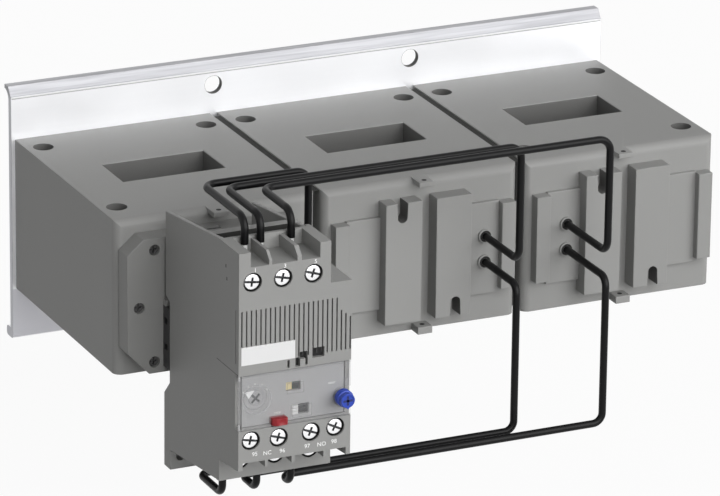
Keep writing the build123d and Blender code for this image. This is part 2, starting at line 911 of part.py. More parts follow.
# Carrier that stands between the adapter and the relay and hooks into the relay's back
with BuildPart() as carrier_block:
    carrier_span = (rx(-carrier_overlap), rx(relay_width + carrier_overlap))
    block(
        carrier_span,
        (carrier_front_y, adapter_front_y),
        (ct_low_z + carrier_bottom, ct_low_z + carrier_top),
    )
    for groove_z in (0.3, 0.72):
        groove_low = ct_low_z + carrier_bottom + groove_z * (carrier_top - carrier_bottom)
        for side_x in carrier_span:
            block(
                (side_x - 1.5, side_x + 1.5),
                (carrier_front_y + 1.2, adapter_front_y - 1.2),
                (groove_low, groove_low + 2.4),
                Mode.SUBTRACT,
            )
    for side in (-1, 1):
        hook_x = rx(relay_width / 2) + side * hook_pitch / 2
        block(
            (hook_x - hook_width / 2, hook_x + hook_width / 2),
            (carrier_front_y - hook_length, carrier_front_y),
            (ct_low_z + hook_z, ct_low_z + hook_z + hook_height),
        )
    bar(
        carrier_screw_places,
        carrier_front_y,
        carrier_front_y + adapter_hole_depth,
        adapter_hole_radius + running_gap,
        Mode.SUBTRACT,
    )
    bar(
        carrier_screw_places, carrier_front_y, adapter_front_y, small_shank_radius, Mode.SUBTRACT
    )
save(carrier_block.part, "carrier_block")

with BuildPart() as adapter_screws:
    small_head = adapter_hole_radius - running_gap
    adapter_seat_y = adapter_front_y + adapter_hole_depth
    carrier_seat_y = carrier_front_y + adapter_hole_depth
    screws(
        adapter_screw_places,
        adapter_seat_y - 2.0,
        adapter_seat_y,
        ct_front_y + ct_wall,
        small_head,
        small_shank_radius,
        screw_cross,
    )
    screws(
        carrier_screw_places,
        carrier_seat_y - 2.0,
        carrier_seat_y,
        ct_front_y - 1.5,
        small_head,
        small_shank_radius,
        screw_cross,
    )
save(adapter_screws.part, "adapter_screws")

# Back housing of the relay, open to the front, with a well above its deck and two feet
with BuildPart() as relay_base:
    relay_side_shape(
        [*side_top, rear_upper, rear_lower, foot_start, foot_rear]
        + [(foot_rear[0], foot_bottom), (foot_front, foot_bottom)]
        + [*under_side],
        0,
        relay_width,
    )
    well_right = shoulder_x - ridge_thickness
    relay_block(
        (shoulder_x, relay_width), (relay_split, relay_depth), (shoulder_z, head_top), Mode.SUBTRACT
    )
    relay_block(
        (side_wall, well_right),
        (relay_split + ridge_thickness, relay_depth),
        (deck_z, head_top),
        Mode.SUBTRACT,
    )
    relay_block(
        (side_wall, well_right),
        (relay_split, relay_split + ridge_thickness),
        (ridge_top, head_top),
        Mode.SUBTRACT,
    )
    relay_side_shape(
        [*right_wall_top, (right_wall_top[1][0], head_top), (right_wall_top[0][0], head_top)],
        well_right,
        shoulder_x,
        Mode.SUBTRACT,
    )
    relay_block(
        (side_wall, relay_width - side_wall),
        (relay_split, base_rear),
        (base_floor, deck_z - deck_thickness),
        Mode.SUBTRACT,
    )
    relay_block(
        (shoulder_x, relay_width - side_wall),
        (relay_split, base_rear),
        (deck_z - deck_thickness, shoulder_z - side_wall),
        Mode.SUBTRACT,
    )
    relay_block(
        (foot_width, relay_width - foot_width),
        (foot_front, relay_depth),
        (foot_bottom, under_side[0][1]),
        Mode.SUBTRACT,
    )
    for foot_x in (foot_slot[0], relay_width - foot_slot[0]):
        with BuildSketch(facing(ry(relay_depth))) as foot_hole:
            with Locations((rx(foot_x), rz(foot_slot[1]))):
                SlotOverall(foot_slot_size[1], foot_slot_size[0], rotation=90)
        extrude(foot_hole.sketch, amount=relay_depth - foot_front, mode=Mode.SUBTRACT)
    post(
        [(rx(x), ry(lower_lead_depth)) for x in bottom_screw_x],
        rz(under_side[0][1]),
        rz(base_floor),
        lead_radius + free_gap,
        Mode.SUBTRACT,
    )
    for side in (-1, 1):
        hook_x = rx(relay_width / 2) + side * hook_pitch / 2
        block(
            (
                hook_x - hook_width / 2 - inset_clearance,
                hook_x + hook_width / 2 + inset_clearance,
            ),
            (ry(base_rear), carrier_front_y),
            (
                ct_low_z + hook_z - inset_clearance,
                ct_low_z + hook_z + hook_height + inset_clearance,
            ),
            Mode.SUBTRACT,
        )
save(relay_base.part, "relay_base")

# Front housing of the relay
with BuildPart() as relay_front:
    relay_side_shape(
        [
            (0, head_top),
            (head_depth, head_top),
            side_top[0],
            under_side[2],
            (lower_front, lower_front_bottom),
            (lower_front, overhang_rear),
            (0, overhang_front),
        ],
        0,
        relay_width,
    )
    relay_block(
        (shoulder_x, relay_width), (0, relay_split), (shoulder_z, head_top), Mode.SUBTRACT
    )
    relay_block(
        (side_wall, relay_width - side_wall),
        (0, lower_front),
        (overhang_rear, face_bottom),
        Mode.SUBTRACT,
    )
    for rib_left in aux_rib_left:
        relay_block(
            (rib_left, rib_left + aux_rib_width),
            (0, aux_rib_depth),
            (face_bottom - aux_rib_drop, face_bottom),
        )
    for chamber in chambers:
        relay_block(chamber, (0, chamber_back), (chamber_floor, head_top), Mode.SUBTRACT)
    for first, second in zip(chambers, chambers[1:]):
        relay_block(
            (first[1], second[0]), (0, chamber_back), (divider_top, head_top), Mode.SUBTRACT
        )
        relay_side_shape(
            [
                (0, divider_top),
                (divider_chamfer, divider_top),
                (0, divider_top - divider_chamfer),
            ],
            first[1],
            second[0],
            Mode.SUBTRACT,
        )
    relay_block(
        (side_wall, well_right),
        (head_depth, relay_split),
        (top_cavity_top, head_top),
        Mode.SUBTRACT,
    )
    relay_block(
        (side_wall, well_right),
        (top_cavity_depth, relay_split),
        (top_cavity_bottom, top_cavity_top),
        Mode.SUBTRACT,
    )
    relay_block(
        (side_wall, relay_width - side_wall),
        (front_cavity_depth, relay_split),
        (front_cavity_bottom, front_cavity_top),
        Mode.SUBTRACT,
    )
    for x in upper_lead_x:
        relay_block(
            (x - entry_size / 2, x + entry_size / 2),
            (chamber_back - entry_size, chamber_back),
            (top_cavity_top, chamber_floor),
            Mode.SUBTRACT,
        )
    for x, z in [(x, top_screw_z) for x in top_screw_x] + [*aux_screw]:
        relay_bar(x, z, 0, screw_recess_depth, screw_recess_radius, Mode.SUBTRACT)
        relay_bar(
            x, z, 0, top_cavity_depth, small_shank_radius + running_gap, Mode.SUBTRACT
        )
    for x in bottom_screw_x:
        relay_bar(
            x,
            bottom_screw_z,
            lower_front,
            lower_front + screw_head_height,
            screw_recess_radius,
            Mode.SUBTRACT,
        )
        relay_bar(
            x,
            bottom_screw_z,
            lower_front,
            relay_split,
            small_shank_radius + running_gap,
            Mode.SUBTRACT,
        )
    for x, z in aux_screw:
        relay_block(
            (x - aux_entry / 2, x + aux_entry / 2),
            (front_cavity_depth + 1, front_cavity_depth + 1 + aux_entry),
            (face_bottom, front_cavity_bottom),
            Mode.SUBTRACT,
        )
    # Decorative grooves, the label's recess and the small slots beside it
    grooves = [(groove_first + k * groove_pitch, groove_top) for k in range(groove_count)]
    last_groove = grooves[-1][0]
    grooves += [
        (last_groove + (k + 1) * short_groove_pitch, top)
        for k, top in enumerate(short_groove_tops)
    ]
    label_top = label_bottom + label_height
    label_right = label_left + label_width
    with BuildSketch(facing(ry(groove_depth))) as lines:
        for x, top in grooves:
            low = label_top if x < label_right + groove_width else groove_bottom
            with Locations((rx(x), rz((low + top) / 2))):
                Rectangle(groove_width, top - low)
    extrude(lines.sketch, amount=groove_depth, mode=Mode.SUBTRACT)
    relay_block(
        (0, groove_width),
        (side_groove_depth_at, side_groove_depth_at + groove_width),
        (groove_bottom, groove_top),
        Mode.SUBTRACT,
    )
    relay_block(
        (label_left, label_right),
        (0, label_thickness - label_proud),
        (label_bottom, label_top),
        Mode.SUBTRACT,
    )
    for x_low, x_high, z_low, z_high in slot_cuts:
        relay_block((x_low, x_high), (0, slot_cut_depth), (z_low, z_high), Mode.SUBTRACT)
    # Seat of the cover, relief for its hinge, seat of the panel and the opening behind it
    relay_block((0, relay_width), (0, cover_seat), (0, cover_height), Mode.SUBTRACT)
    relay_block((0, hinge_groove), (0, panel_back), (0, cover_height), Mode.SUBTRACT)
    relay_block(
        (hinge_groove, panel_right + inset_clearance),
        (0, panel_back),
        (panel_low - inset_clearance, panel_high + inset_clearance),
        Mode.SUBTRACT,
    )
    relay_block(
        (panel_left + panel_rim, panel_right - panel_rim),
        (panel_back, front_cavity_depth),
        (panel_low + panel_rim, panel_high - panel_rim),
        Mode.SUBTRACT,
    )
    relay_block(
        (stop_left - running_gap, stop_right + running_gap),
        (0, front_cavity_depth),
        (stop_low - running_gap, stop_high + running_gap),
        Mode.SUBTRACT,
    )
    relay_bar(
        reset_x,
        reset_z,
        panel_back,
        front_cavity_depth,
        reset_stem_radius + free_gap,
        Mode.SUBTRACT,
    )
    pin_z = [
        (cover_gap + knuckle_height - hinge_pin_length, cover_gap + knuckle_height),
        (
            cover_height - cover_gap - knuckle_height,
            cover_height - cover_gap - knuckle_height + hinge_pin_length,
        ),
    ]
    for z_low, z_high in pin_z:
        post(
            [(rx(hinge_x), ry(hinge_depth))],
            rz(z_low),
            rz(z_high),
            hinge_pin_radius,
            Mode.SUBTRACT,
        )
save(relay_front.part, "relay_front")

# Terminal screws and clamps
with BuildPart() as top_terminal_screws:
    screws(
        [(rx(x), rz(top_screw_z)) for x in top_screw_x],
        ry(screw_recess_depth - screw_head_height),
        ry(screw_recess_depth),
        ry(top_clamp_rear - 5),
        screw_head_radius,
        small_shank_radius,
        screw_cross,
    )
save(top_terminal_screws.part, "top_terminal_screws")

with BuildPart() as top_terminal_clamps:
    for x, screw_x, lead_x in zip(top_clamp_left, top_screw_x, upper_lead_x):
        relay_block(
            (x, x + top_clamp_width),
            (top_cavity_depth, top_clamp_rear),
            (top_cavity_bottom, top_cavity_top),
        )
        relay_bar(
            screw_x,
            top_screw_z,
            top_cavity_depth,
            top_clamp_rear - 5,
            small_shank_radius,
            Mode.SUBTRACT,
        )
        post(
            [(rx(lead_x), ry(upper_lead_depth))],
            rz(upper_wire_end),
            rz(top_cavity_top),
            wire_radius,
            Mode.SUBTRACT,
        )
save(top_terminal_clamps.part, "top_terminal_clamps")

with BuildPart() as aux_screws:
    screws(
        [(rx(x), rz(z)) for x, z in aux_screw],
        ry(screw_recess_depth - screw_head_height),
        ry(screw_recess_depth),
        ry(aux_clamp_rear - 2),
        screw_head_radius,
        small_shank_radius,
        screw_cross,
    )
save(aux_screws.part, "aux_screws")

with BuildPart() as aux_clamps:
    for x, z in aux_screw:
        relay_block(
            (x - aux_clamp_half, x + aux_clamp_half),
            (front_cavity_depth, aux_clamp_rear),
            (front_cavity_bottom, aux_clamp_top),
        )
        relay_bar(
            x, z, front_cavity_depth, aux_clamp_rear - 2, small_shank_radius, Mode.SUBTRACT
        )
        relay_block(
            (x - aux_entry / 2, x + aux_entry / 2),
            (front_cavity_depth + 1, front_cavity_depth + 1 + aux_entry),
            (front_cavity_bottom, z - small_shank_radius - 1),
            Mode.SUBTRACT,
        )
save(aux_clamps.part, "aux_clamps")

with BuildPart() as bottom_terminal_screws:
    screws(
        [(rx(x), rz(bottom_screw_z)) for x in bottom_screw_x],
        ry(lower_front),
        ry(lower_front + screw_head_height),
        ry(lower_lead_depth - wire_radius),
        screw_head_radius,
        small_shank_radius,
        screw_cross,
    )
save(bottom_terminal_screws.part, "bottom_terminal_screws")

with BuildPart() as bottom_terminal_clamps:
    for x in bottom_screw_x:
        relay_block(
            (x - bottom_clamp_half, x + bottom_clamp_half),
            (relay_split, bottom_clamp_rear),
            (base_floor, bottom_clamp_top),
        )
        relay_bar(
            x,
            bottom_screw_z,
            relay_split,
            lower_lead_depth - wire_radius,
            small_shank_radius,
            Mode.SUBTRACT,
        )
        post(
            [(rx(x), ry(lower_lead_depth))],
            rz(base_floor),
            rz(lower_wire_end),
            wire_radius,
            Mode.SUBTRACT,
        )
save(bottom_terminal_clamps.part, "bottom_terminal_clamps")

with BuildPart() as label_plate:
    relay_block(
        (label_left, label_right),
        (-label_proud, label_thickness - label_proud),
        (label_bottom, label_top),
    )
save(label_plate.part, "label_plate")

with BuildPart() as control_panel:
    relay_block((panel_left, panel_right), (panel_front, panel_back), (panel_low, panel_high))
    relay_bar(
        dial_x, dial_z, panel_front, panel_back, dial_radius + running_gap, Mode.SUBTRACT
    )
    relay_bar(
        reset_x,
        reset_z,
        panel_front,
        panel_back,
        reset_stem_radius + running_gap,
        Mode.SUBTRACT,
    )
    relay_block(
        (stop_left - running_gap, stop_right + running_gap),
        (panel_front, panel_back),
        (panel_low, stop_high + running_gap),
        Mode.SUBTRACT,
    )
    for x_low, x_high, z_low, z_high in (window_span, dip_window):
        relay_block((x_low, x_high), (panel_front, panel_back), (z_low, z_high), Mode.SUBTRACT)
save(control_panel.part, "control_panel")

# Transparent cover, hinged at the left, with openings for the knob, the button and a seal
with BuildPart() as cover:
    cover_low = cover_gap
    cover_high = cover_height - cover_gap
    relay_block((0, relay_width), (0, cover_thickness), (cover_low, cover_high))
    for z_low in (cover_low, cover_high - knuckle_height):
        post(
            [(rx(hinge_x), ry(hinge_depth))], rz(z_low), rz(z_low + knuckle_height), knuckle_radius
        )
        post(
            [(rx(hinge_x), ry(hinge_depth))],
            rz(z_low),
            rz(z_low + knuckle_height),
            hinge_pin_radius + running_gap,
            Mode.SUBTRACT,
        )
    knob_notch = reset_base_radius + free_gap + running_gap
    relay_bar(reset_x, reset_z, 0, cover_thickness, knob_notch, Mode.SUBTRACT)
    relay_block(
        (reset_x, relay_width),
        (0, cover_thickness),
        (reset_z - knob_notch, reset_z + knob_notch),
        Mode.SUBTRACT,
    )
    relay_block(
        (stop_left - free_gap, stop_right + free_gap),
        (0, cover_thickness),
        (cover_low, stop_high + free_gap),
        Mode.SUBTRACT,
    )
    relay_block(
        (seal_slot_right - seal_slot_width, seal_slot_right),
        (0, cover_thickness),
        (seal_slot_low, seal_slot_high),
        Mode.SUBTRACT,
    )
save(cover.part, "cover")

with BuildPart() as cover_hinge_pins:
    for z_low, z_high in pin_z:
        post([(rx(hinge_x), ry(hinge_depth))], rz(z_low), rz(z_high), hinge_pin_radius)
save(cover_hinge_pins.part, "cover_hinge_pins")

# Setting dial and the potentiometer it turns
with BuildPart() as setting_dial:
    relay_bar(dial_x, dial_z, dial_front, dial_back, dial_radius)
    relay_bar(dial_x, dial_z, dial_hub_front, dial_front, dial_hub_radius)
    relay_bar(dial_x, dial_z, dial_back, dial_stem_end, dial_stem_radius)
    with BuildSketch(facing(ry(dial_hub_front + 0.7))) as cross_recess:
        with Locations((rx(dial_x), rz(dial_z))):
            Rectangle(dial_hub_radius * 1.6, screw_cross)
            Rectangle(screw_cross, dial_hub_radius * 1.6)
    extrude(cross_recess.sketch, amount=0.7, mode=Mode.SUBTRACT)
save(setting_dial.part, "setting_dial")

with BuildPart() as dial_pointer:
    with BuildSketch(facing(ry(dial_front))) as arrow:
        with BuildLine():
            Polyline(*[(rx(dial_x) + x, rz(dial_z) + z) for x, z in pointer_shape], close=True)
        make_face()
        with Locations((rx(dial_x), rz(dial_z))):
            Circle(dial_hub_radius, mode=Mode.SUBTRACT)
    extrude(arrow.sketch, amount=dial_front - dial_hub_front)
save(dial_pointer.part, "dial_pointer")

with BuildPart() as dial_potentiometer:
    relay_block(
        (dial_x - pot_half, dial_x + pot_half),
        (pot_front, board_front),
        (dial_z - pot_half, dial_z + pot_half),
    )
    relay_bar(
        dial_x,
        dial_z,
        pot_front,
        dial_stem_end + free_gap,
        dial_stem_radius + running_gap,
        Mode.SUBTRACT,
    )
save(dial_potentiometer.part, "dial_potentiometer")


def relay_spring(x, z, depth_front, depth_back):
    """Compression spring along Y between two depths."""
    length = depth_back - depth_front - 2 * spring_wire
    with BuildLine() as coil:
        Helix(
            pitch=length / spring_coils,
            height=length,
            radius=spring_radius,
            center=(rx(x), ry(depth_front + spring_wire), rz(z)),
            direction=(0, 1, 0),
        )
    start = coil.line @ 0
    with BuildSketch(Plane(origin=start, z_dir=coil.line % 0)) as section:
        Circle(spring_wire)
    sweep(section.sketch, path=coil.line, is_frenet=True)


# Blue knob for resetting, with its stem and spring
with BuildPart() as reset_knob:
    relay_bar(reset_x, reset_z, reset_step, reset_rear, reset_base_radius)
    relay_bar(reset_x, reset_z, reset_front, reset_step, reset_tip_radius)
    with BuildSketch(facing(ry(reset_step))) as lug:
        with BuildLine():
            Polyline(
                (rx(reset_x) - reset_tip_radius / 2, rz(reset_z) - reset_tip_radius / 2),
                (rx(reset_x) + reset_tip_radius / 2, rz(reset_z) - reset_tip_radius / 2),
                (rx(reset_x), rz(reset_z) - reset_base_radius),
                close=True,
            )
        make_face()
    extrude(lug.sketch, amount=reset_step - reset_front)
    with BuildSketch(facing(ry(reset_front + 1))) as cross_slots:
        with Locations((rx(reset_x), rz(reset_z))):
            Rectangle(reset_tip_radius * 1.3, screw_cross)
            Rectangle(screw_cross, reset_tip_radius * 1.3)
    extrude(cross_slots.sketch, amount=1, mode=Mode.SUBTRACT)
    relay_bar(
        reset_x,
        reset_z,
        reset_stem_front - running_gap,
        reset_rear,
        reset_stem_radius + running_gap,
        Mode.SUBTRACT,
    )
save(reset_knob.part, "reset_knob")

with BuildPart() as reset_stem:
    relay_bar(reset_x, reset_z, reset_stem_front, reset_stem_end, reset_stem_radius)
    relay_bar(reset_x, reset_z, collar_front, collar_back, collar_radius)
save(reset_stem.part, "reset_stem")

with BuildPart() as reset_spring:
    relay_spring(reset_x, reset_z, collar_back, board_front)
save(reset_spring.part, "reset_spring")

stop_x = (stop_left + stop_right) / 2
stop_z = (stop_low + stop_high) / 2
with BuildPart() as stop_button:
    relay_block((stop_left, stop_right), (stop_front, stop_back), (stop_low, stop_high))
    relay_block(
        (stop_left - stop_flange, stop_right + stop_flange),
        (front_cavity_depth + free_gap, stop_back),
        (stop_low, stop_high),
    )
save(stop_button.part, "stop_button")

with BuildPart() as stop_spring:
    relay_spring(stop_x, stop_z + spring_wire, stop_back, board_front)
save(stop_spring.part, "stop_spring")

# Trip indicator, its plunger and the coil that pulls it
with BuildPart() as trip_indicator:
    relay_block((flag_left, flag_right), (flag_front, flag_back), (flag_low, flag_high))
    relay_block(
        (trip_stem[0], trip_stem[1]),
        (flag_back, trip_axis_depth + plunger_radius),
        (trip_stem[2], trip_stem[3]),
    )
save(trip_indicator.part, "trip_indicator")

with BuildPart() as trip_plunger:
    with BuildSketch(Plane.YZ.offset(rx(trip_stem[1]))) as rod:
        with Locations((ry(trip_axis_depth), rz(trip_axis_z))):
            Circle(plunger_radius)
    extrude(rod.sketch, amount=plunger_end - trip_stem[1])
save(trip_plunger.part, "trip_plunger")

with BuildPart() as trip_coil:
    relay_block(
        coil_span,
        (board_back, trip_axis_depth + coil_half),
        (trip_axis_z - coil_half, trip_axis_z + coil_half),
    )
    with BuildSketch(Plane.YZ.offset(rx(coil_span[0]))) as bore:
        with Locations((ry(trip_axis_depth), rz(trip_axis_z))):
            Circle(plunger_radius + running_gap)
    extrude(bore.sketch, amount=coil_span[1] - coil_span[0], mode=Mode.SUBTRACT)
save(trip_coil.part, "trip_coil")

# Contacts that the trip slider moves
with BuildPart() as contact_carrier:
    relay_block(
        (carrier_bar[0], carrier_bar[1]),
        (carrier_bar_front, carrier_bar_back),
        (carrier_bar[2], carrier_bar[3]),
    )
    for x in guide_pin_x:
        relay_bar(x, contact_z, guide_pin_front, carrier_bar_front, guide_pin_radius)
save(contact_carrier.part, "contact_carrier")

contact_x = [middle + side * contact_reach for middle in bridge_centres for side in (-1, 1)]
bridge_front = carrier_bar_front - bridge_thickness
with BuildPart() as moving_contacts:
    for middle in bridge_centres:
        relay_block(
            (middle - bridge_half, middle + bridge_half),
            (bridge_front, carrier_bar_front),
            (contact_z - 1.2, contact_z + 1.2),
        )
    for x in contact_x:
        relay_bar(x, contact_z, fixed_contact_end + free_gap, bridge_front, contact_radius)
save(moving_contacts.part, "moving_contacts")

with BuildPart() as fixed_contacts:
    for x in contact_x:
        relay_bar(x, contact_z, board_back, fixed_contact_end, contact_radius)
save(fixed_contacts.part, "fixed_contacts")

# Miniature slide switches
lever_lows = [dip_window[2] + 0.2 + k * dip_pitch for k in range(3)]
with BuildPart() as dip_switch_body:
    relay_block(
        (dip_body[0], dip_body[1]), (dip_body_front, board_front), (dip_body[2], dip_body[3])
    )
    for z_low in lever_lows:
        relay_block(
            (dip_window[0], dip_window[1]),
            (dip_body_front, dip_lever_back + running_gap),
            (z_low - running_gap, z_low + dip_lever_height + running_gap),
            Mode.SUBTRACT,
        )
save(dip_switch_body.part, "dip_switch_body")

for k, z_low in enumerate(lever_lows):
    with BuildPart() as dip_lever:
        lever_left = dip_window[0] + running_gap
        relay_block(
            (lever_left, lever_left + dip_lever_length),
            (dip_front, dip_lever_back),
            (z_low, z_low + dip_lever_height),
        )
    save(dip_lever.part, f"dip_lever_{k + 1}")

with BuildPart() as circuit_board:
    relay_block(
        (side_wall, relay_width - side_wall),
        (board_front, board_back),
        (board_bottom, front_cavity_top),
    )
    relay_block(
        (trip_stem[0] - free_gap, trip_stem[1] + trip_travel + free_gap),
        (board_front, board_back),
        (trip_stem[2] - free_gap, trip_stem[3] + free_gap),
        Mode.SUBTRACT,
    )
    for x in guide_pin_x:
        relay_bar(
            x,
            contact_z,
            board_front,
            board_back,
            guide_pin_radius + running_gap,
            Mode.SUBTRACT,
        )
save(circuit_board.part, "circuit_board")

# The six leads between the relay's terminals and the transformers
for index in range(ct_count):
    hole_x = ct_left_x(index) + lead_hole_x[index]
    lead_end_y = ct_front_y + lead_insert
    upper_x = rx(upper_lead_x[index])
    lower_x = rx(bottom_screw_x[index])
    upper_y = ry(upper_lead_depth)
    lower_y = ry(lower_lead_depth)
    upper_run = ry(upper_run_depth[index])
    lower_run = ry(lower_run_depth[index])
    upper_hole_z = ct_low_z + lead_hole_upper
    lower_hole_z = ct_low_z + lead_hole_lower
    with BuildPart() as lead_top:
        wire(
            [
                (upper_x, upper_y, rz(upper_lead_end)),
                (upper_x, upper_y, upper_run_z),
                (upper_x, upper_run, upper_run_z),
                (hole_x, upper_run, upper_run_z),
                (hole_x, upper_run, upper_hole_z),
                (hole_x, lead_end_y, upper_hole_z),
            ],
            lead_radius,
            upper_bend,
        )
    save(lead_top.part, f"lead_top_{index + 1}")
    with BuildPart() as lead_bottom:
        wire(
            [
                (lower_x, lower_y, rz(lower_lead_end)),
                (lower_x, lower_y, lower_run_z),
                (lower_x, lower_run, lower_run_z),
                (hole_x, lower_run, lower_run_z),
                (hole_x, lower_run, lower_hole_z),
                (hole_x, lead_end_y, lower_hole_z),
            ],
            lead_radius,
            lower_bend,
        )
    save(lead_bottom.part, f"lead_bottom_{index + 1}")

with BuildPart() as lead_ends:
    post(
        [(rx(x), ry(upper_lead_depth)) for x in upper_lead_x],
        rz(upper_wire_end),
        rz(upper_lead_end),
        wire_radius,
    )
    post(
        [(rx(x), ry(lower_lead_depth)) for x in bottom_screw_x],
        rz(lower_lead_end),
        rz(lower_wire_end),
        wire_radius,
    )
save(lead_ends.part, "lead_ends")
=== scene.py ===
import json
import logging
import math
from dataclasses import dataclass, field
from enum import Enum
from typing import Callable, Iterable, Optional, Sequence

import bmesh
import bpy
from mathutils import Matrix, Vector


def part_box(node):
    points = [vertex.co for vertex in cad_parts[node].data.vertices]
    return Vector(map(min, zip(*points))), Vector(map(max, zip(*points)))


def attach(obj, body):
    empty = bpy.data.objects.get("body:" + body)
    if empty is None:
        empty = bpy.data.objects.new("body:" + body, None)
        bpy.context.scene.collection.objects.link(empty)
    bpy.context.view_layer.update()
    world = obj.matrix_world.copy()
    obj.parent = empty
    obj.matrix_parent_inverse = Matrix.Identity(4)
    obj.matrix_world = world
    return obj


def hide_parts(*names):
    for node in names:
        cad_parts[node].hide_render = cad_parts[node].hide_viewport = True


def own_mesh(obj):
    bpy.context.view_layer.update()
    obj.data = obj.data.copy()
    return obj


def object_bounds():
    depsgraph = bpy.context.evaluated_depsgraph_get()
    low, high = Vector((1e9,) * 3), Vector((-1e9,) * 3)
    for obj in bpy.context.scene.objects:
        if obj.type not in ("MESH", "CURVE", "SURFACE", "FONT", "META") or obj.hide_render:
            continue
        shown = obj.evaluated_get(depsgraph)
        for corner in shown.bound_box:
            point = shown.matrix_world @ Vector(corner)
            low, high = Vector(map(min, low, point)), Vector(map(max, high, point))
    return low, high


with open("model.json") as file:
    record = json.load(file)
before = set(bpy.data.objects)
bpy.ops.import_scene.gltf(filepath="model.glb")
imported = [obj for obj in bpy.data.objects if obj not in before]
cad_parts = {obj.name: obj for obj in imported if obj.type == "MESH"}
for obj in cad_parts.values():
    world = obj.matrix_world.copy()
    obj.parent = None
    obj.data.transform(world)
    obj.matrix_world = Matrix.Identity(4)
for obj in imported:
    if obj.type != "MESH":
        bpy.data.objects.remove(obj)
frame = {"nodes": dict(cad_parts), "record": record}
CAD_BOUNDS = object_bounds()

LOG = logging.getLogger("overload_relay")
MM = 0.001
IMAGE_WIDTH = 720
HEAD_TOP = 69.3
COPY_MERGE = 1e-6
SPIN_MERGE = 1e-7
WHITE = (1.0, 1.0, 1.0, 1.0)

Triple = tuple[float, float, float]
Place = tuple[float, float]
Span = tuple[float, float]
Window = tuple[float, float, float, float]


@dataclass(frozen=True)
class Texture:
    """The noises of a grain, and how far they change the colour and the gloss."""

    fine_scale: float
    fine_detail: float
    gloss_swing: float
    fine_stretch: Triple = (1.0, 1.0, 1.0)
    cloud_scale: float = 0.0
    cloud_detail: float = 3.0
    cloud_stretch: Triple = (1.0, 1.0, 1.0)
    cloud_share: float = 0.0
    cloudy_gloss: bool = False


class Grain(Enum):
    """Kinds of surface texture that a finish can carry."""

    NONE = None
    MOULDED = Texture(2600.0, 2.0, 0.05, cloud_scale=28.0, cloud_share=0.7)
    EXTRUDED = Texture(900.0, 2.0, 0.12, (0.03, 1.0, 1.0), 22.0, 5.0, (1.0, 1.0, 1.8), 0.75, True)
    PLATED = Texture(1500.0, 3.0, 0.06)


class Body(str, Enum):
    """The rigid bodies that pieces ride on."""

    FRAME = "frame"
    COVER = "cover_leaf"
    DIAL = "dial"
    RESET = "reset_turner"
    STOP = "stop_slider"


class Wire:
    """One node socket, on which Python's operators add Math nodes."""

    def __init__(self, maker: "NodeMaker", socket: Optional[bpy.types.NodeSocket]) -> None:
        """Keeps the socket and the maker that adds nodes beside it.

        Args:
            maker: the maker of the node tree that the socket belongs to.
            socket: an output socket, or None after a node that has none.
        """
        self.maker = maker
        self.socket = socket

    def _math(self, operation: str, first: object, second: object) -> "Wire":
        """Adds a Math node.

        Args:
            operation: the Math node's operation.
            first: a Wire or a number.
            second: a Wire or a number.

        Returns:
            The node's output.
        """
        return self.maker.node("ShaderNodeMath", {"operation": operation}, {0: first, 1: second})

    def __add__(self, other: object) -> "Wire":
        """Sum of the two."""
        return self._math("ADD", self, other)

    def __radd__(self, other: object) -> "Wire":
        """Sum of the two, with the number first."""
        return self._math("ADD", other, self)

    def __sub__(self, other: object) -> "Wire":
        """Difference of the two."""
        return self._math("SUBTRACT", self, other)

    def __rsub__(self, other: object) -> "Wire":
        """Difference of the two, with the number first."""
        return self._math("SUBTRACT", other, self)

    def __mul__(self, other: object) -> "Wire":
        """Product of the two."""
        return self._math("MULTIPLY", self, other)

    def __rmul__(self, other: object) -> "Wire":
        """Product of the two, with the number first."""
        return self._math("MULTIPLY", other, self)


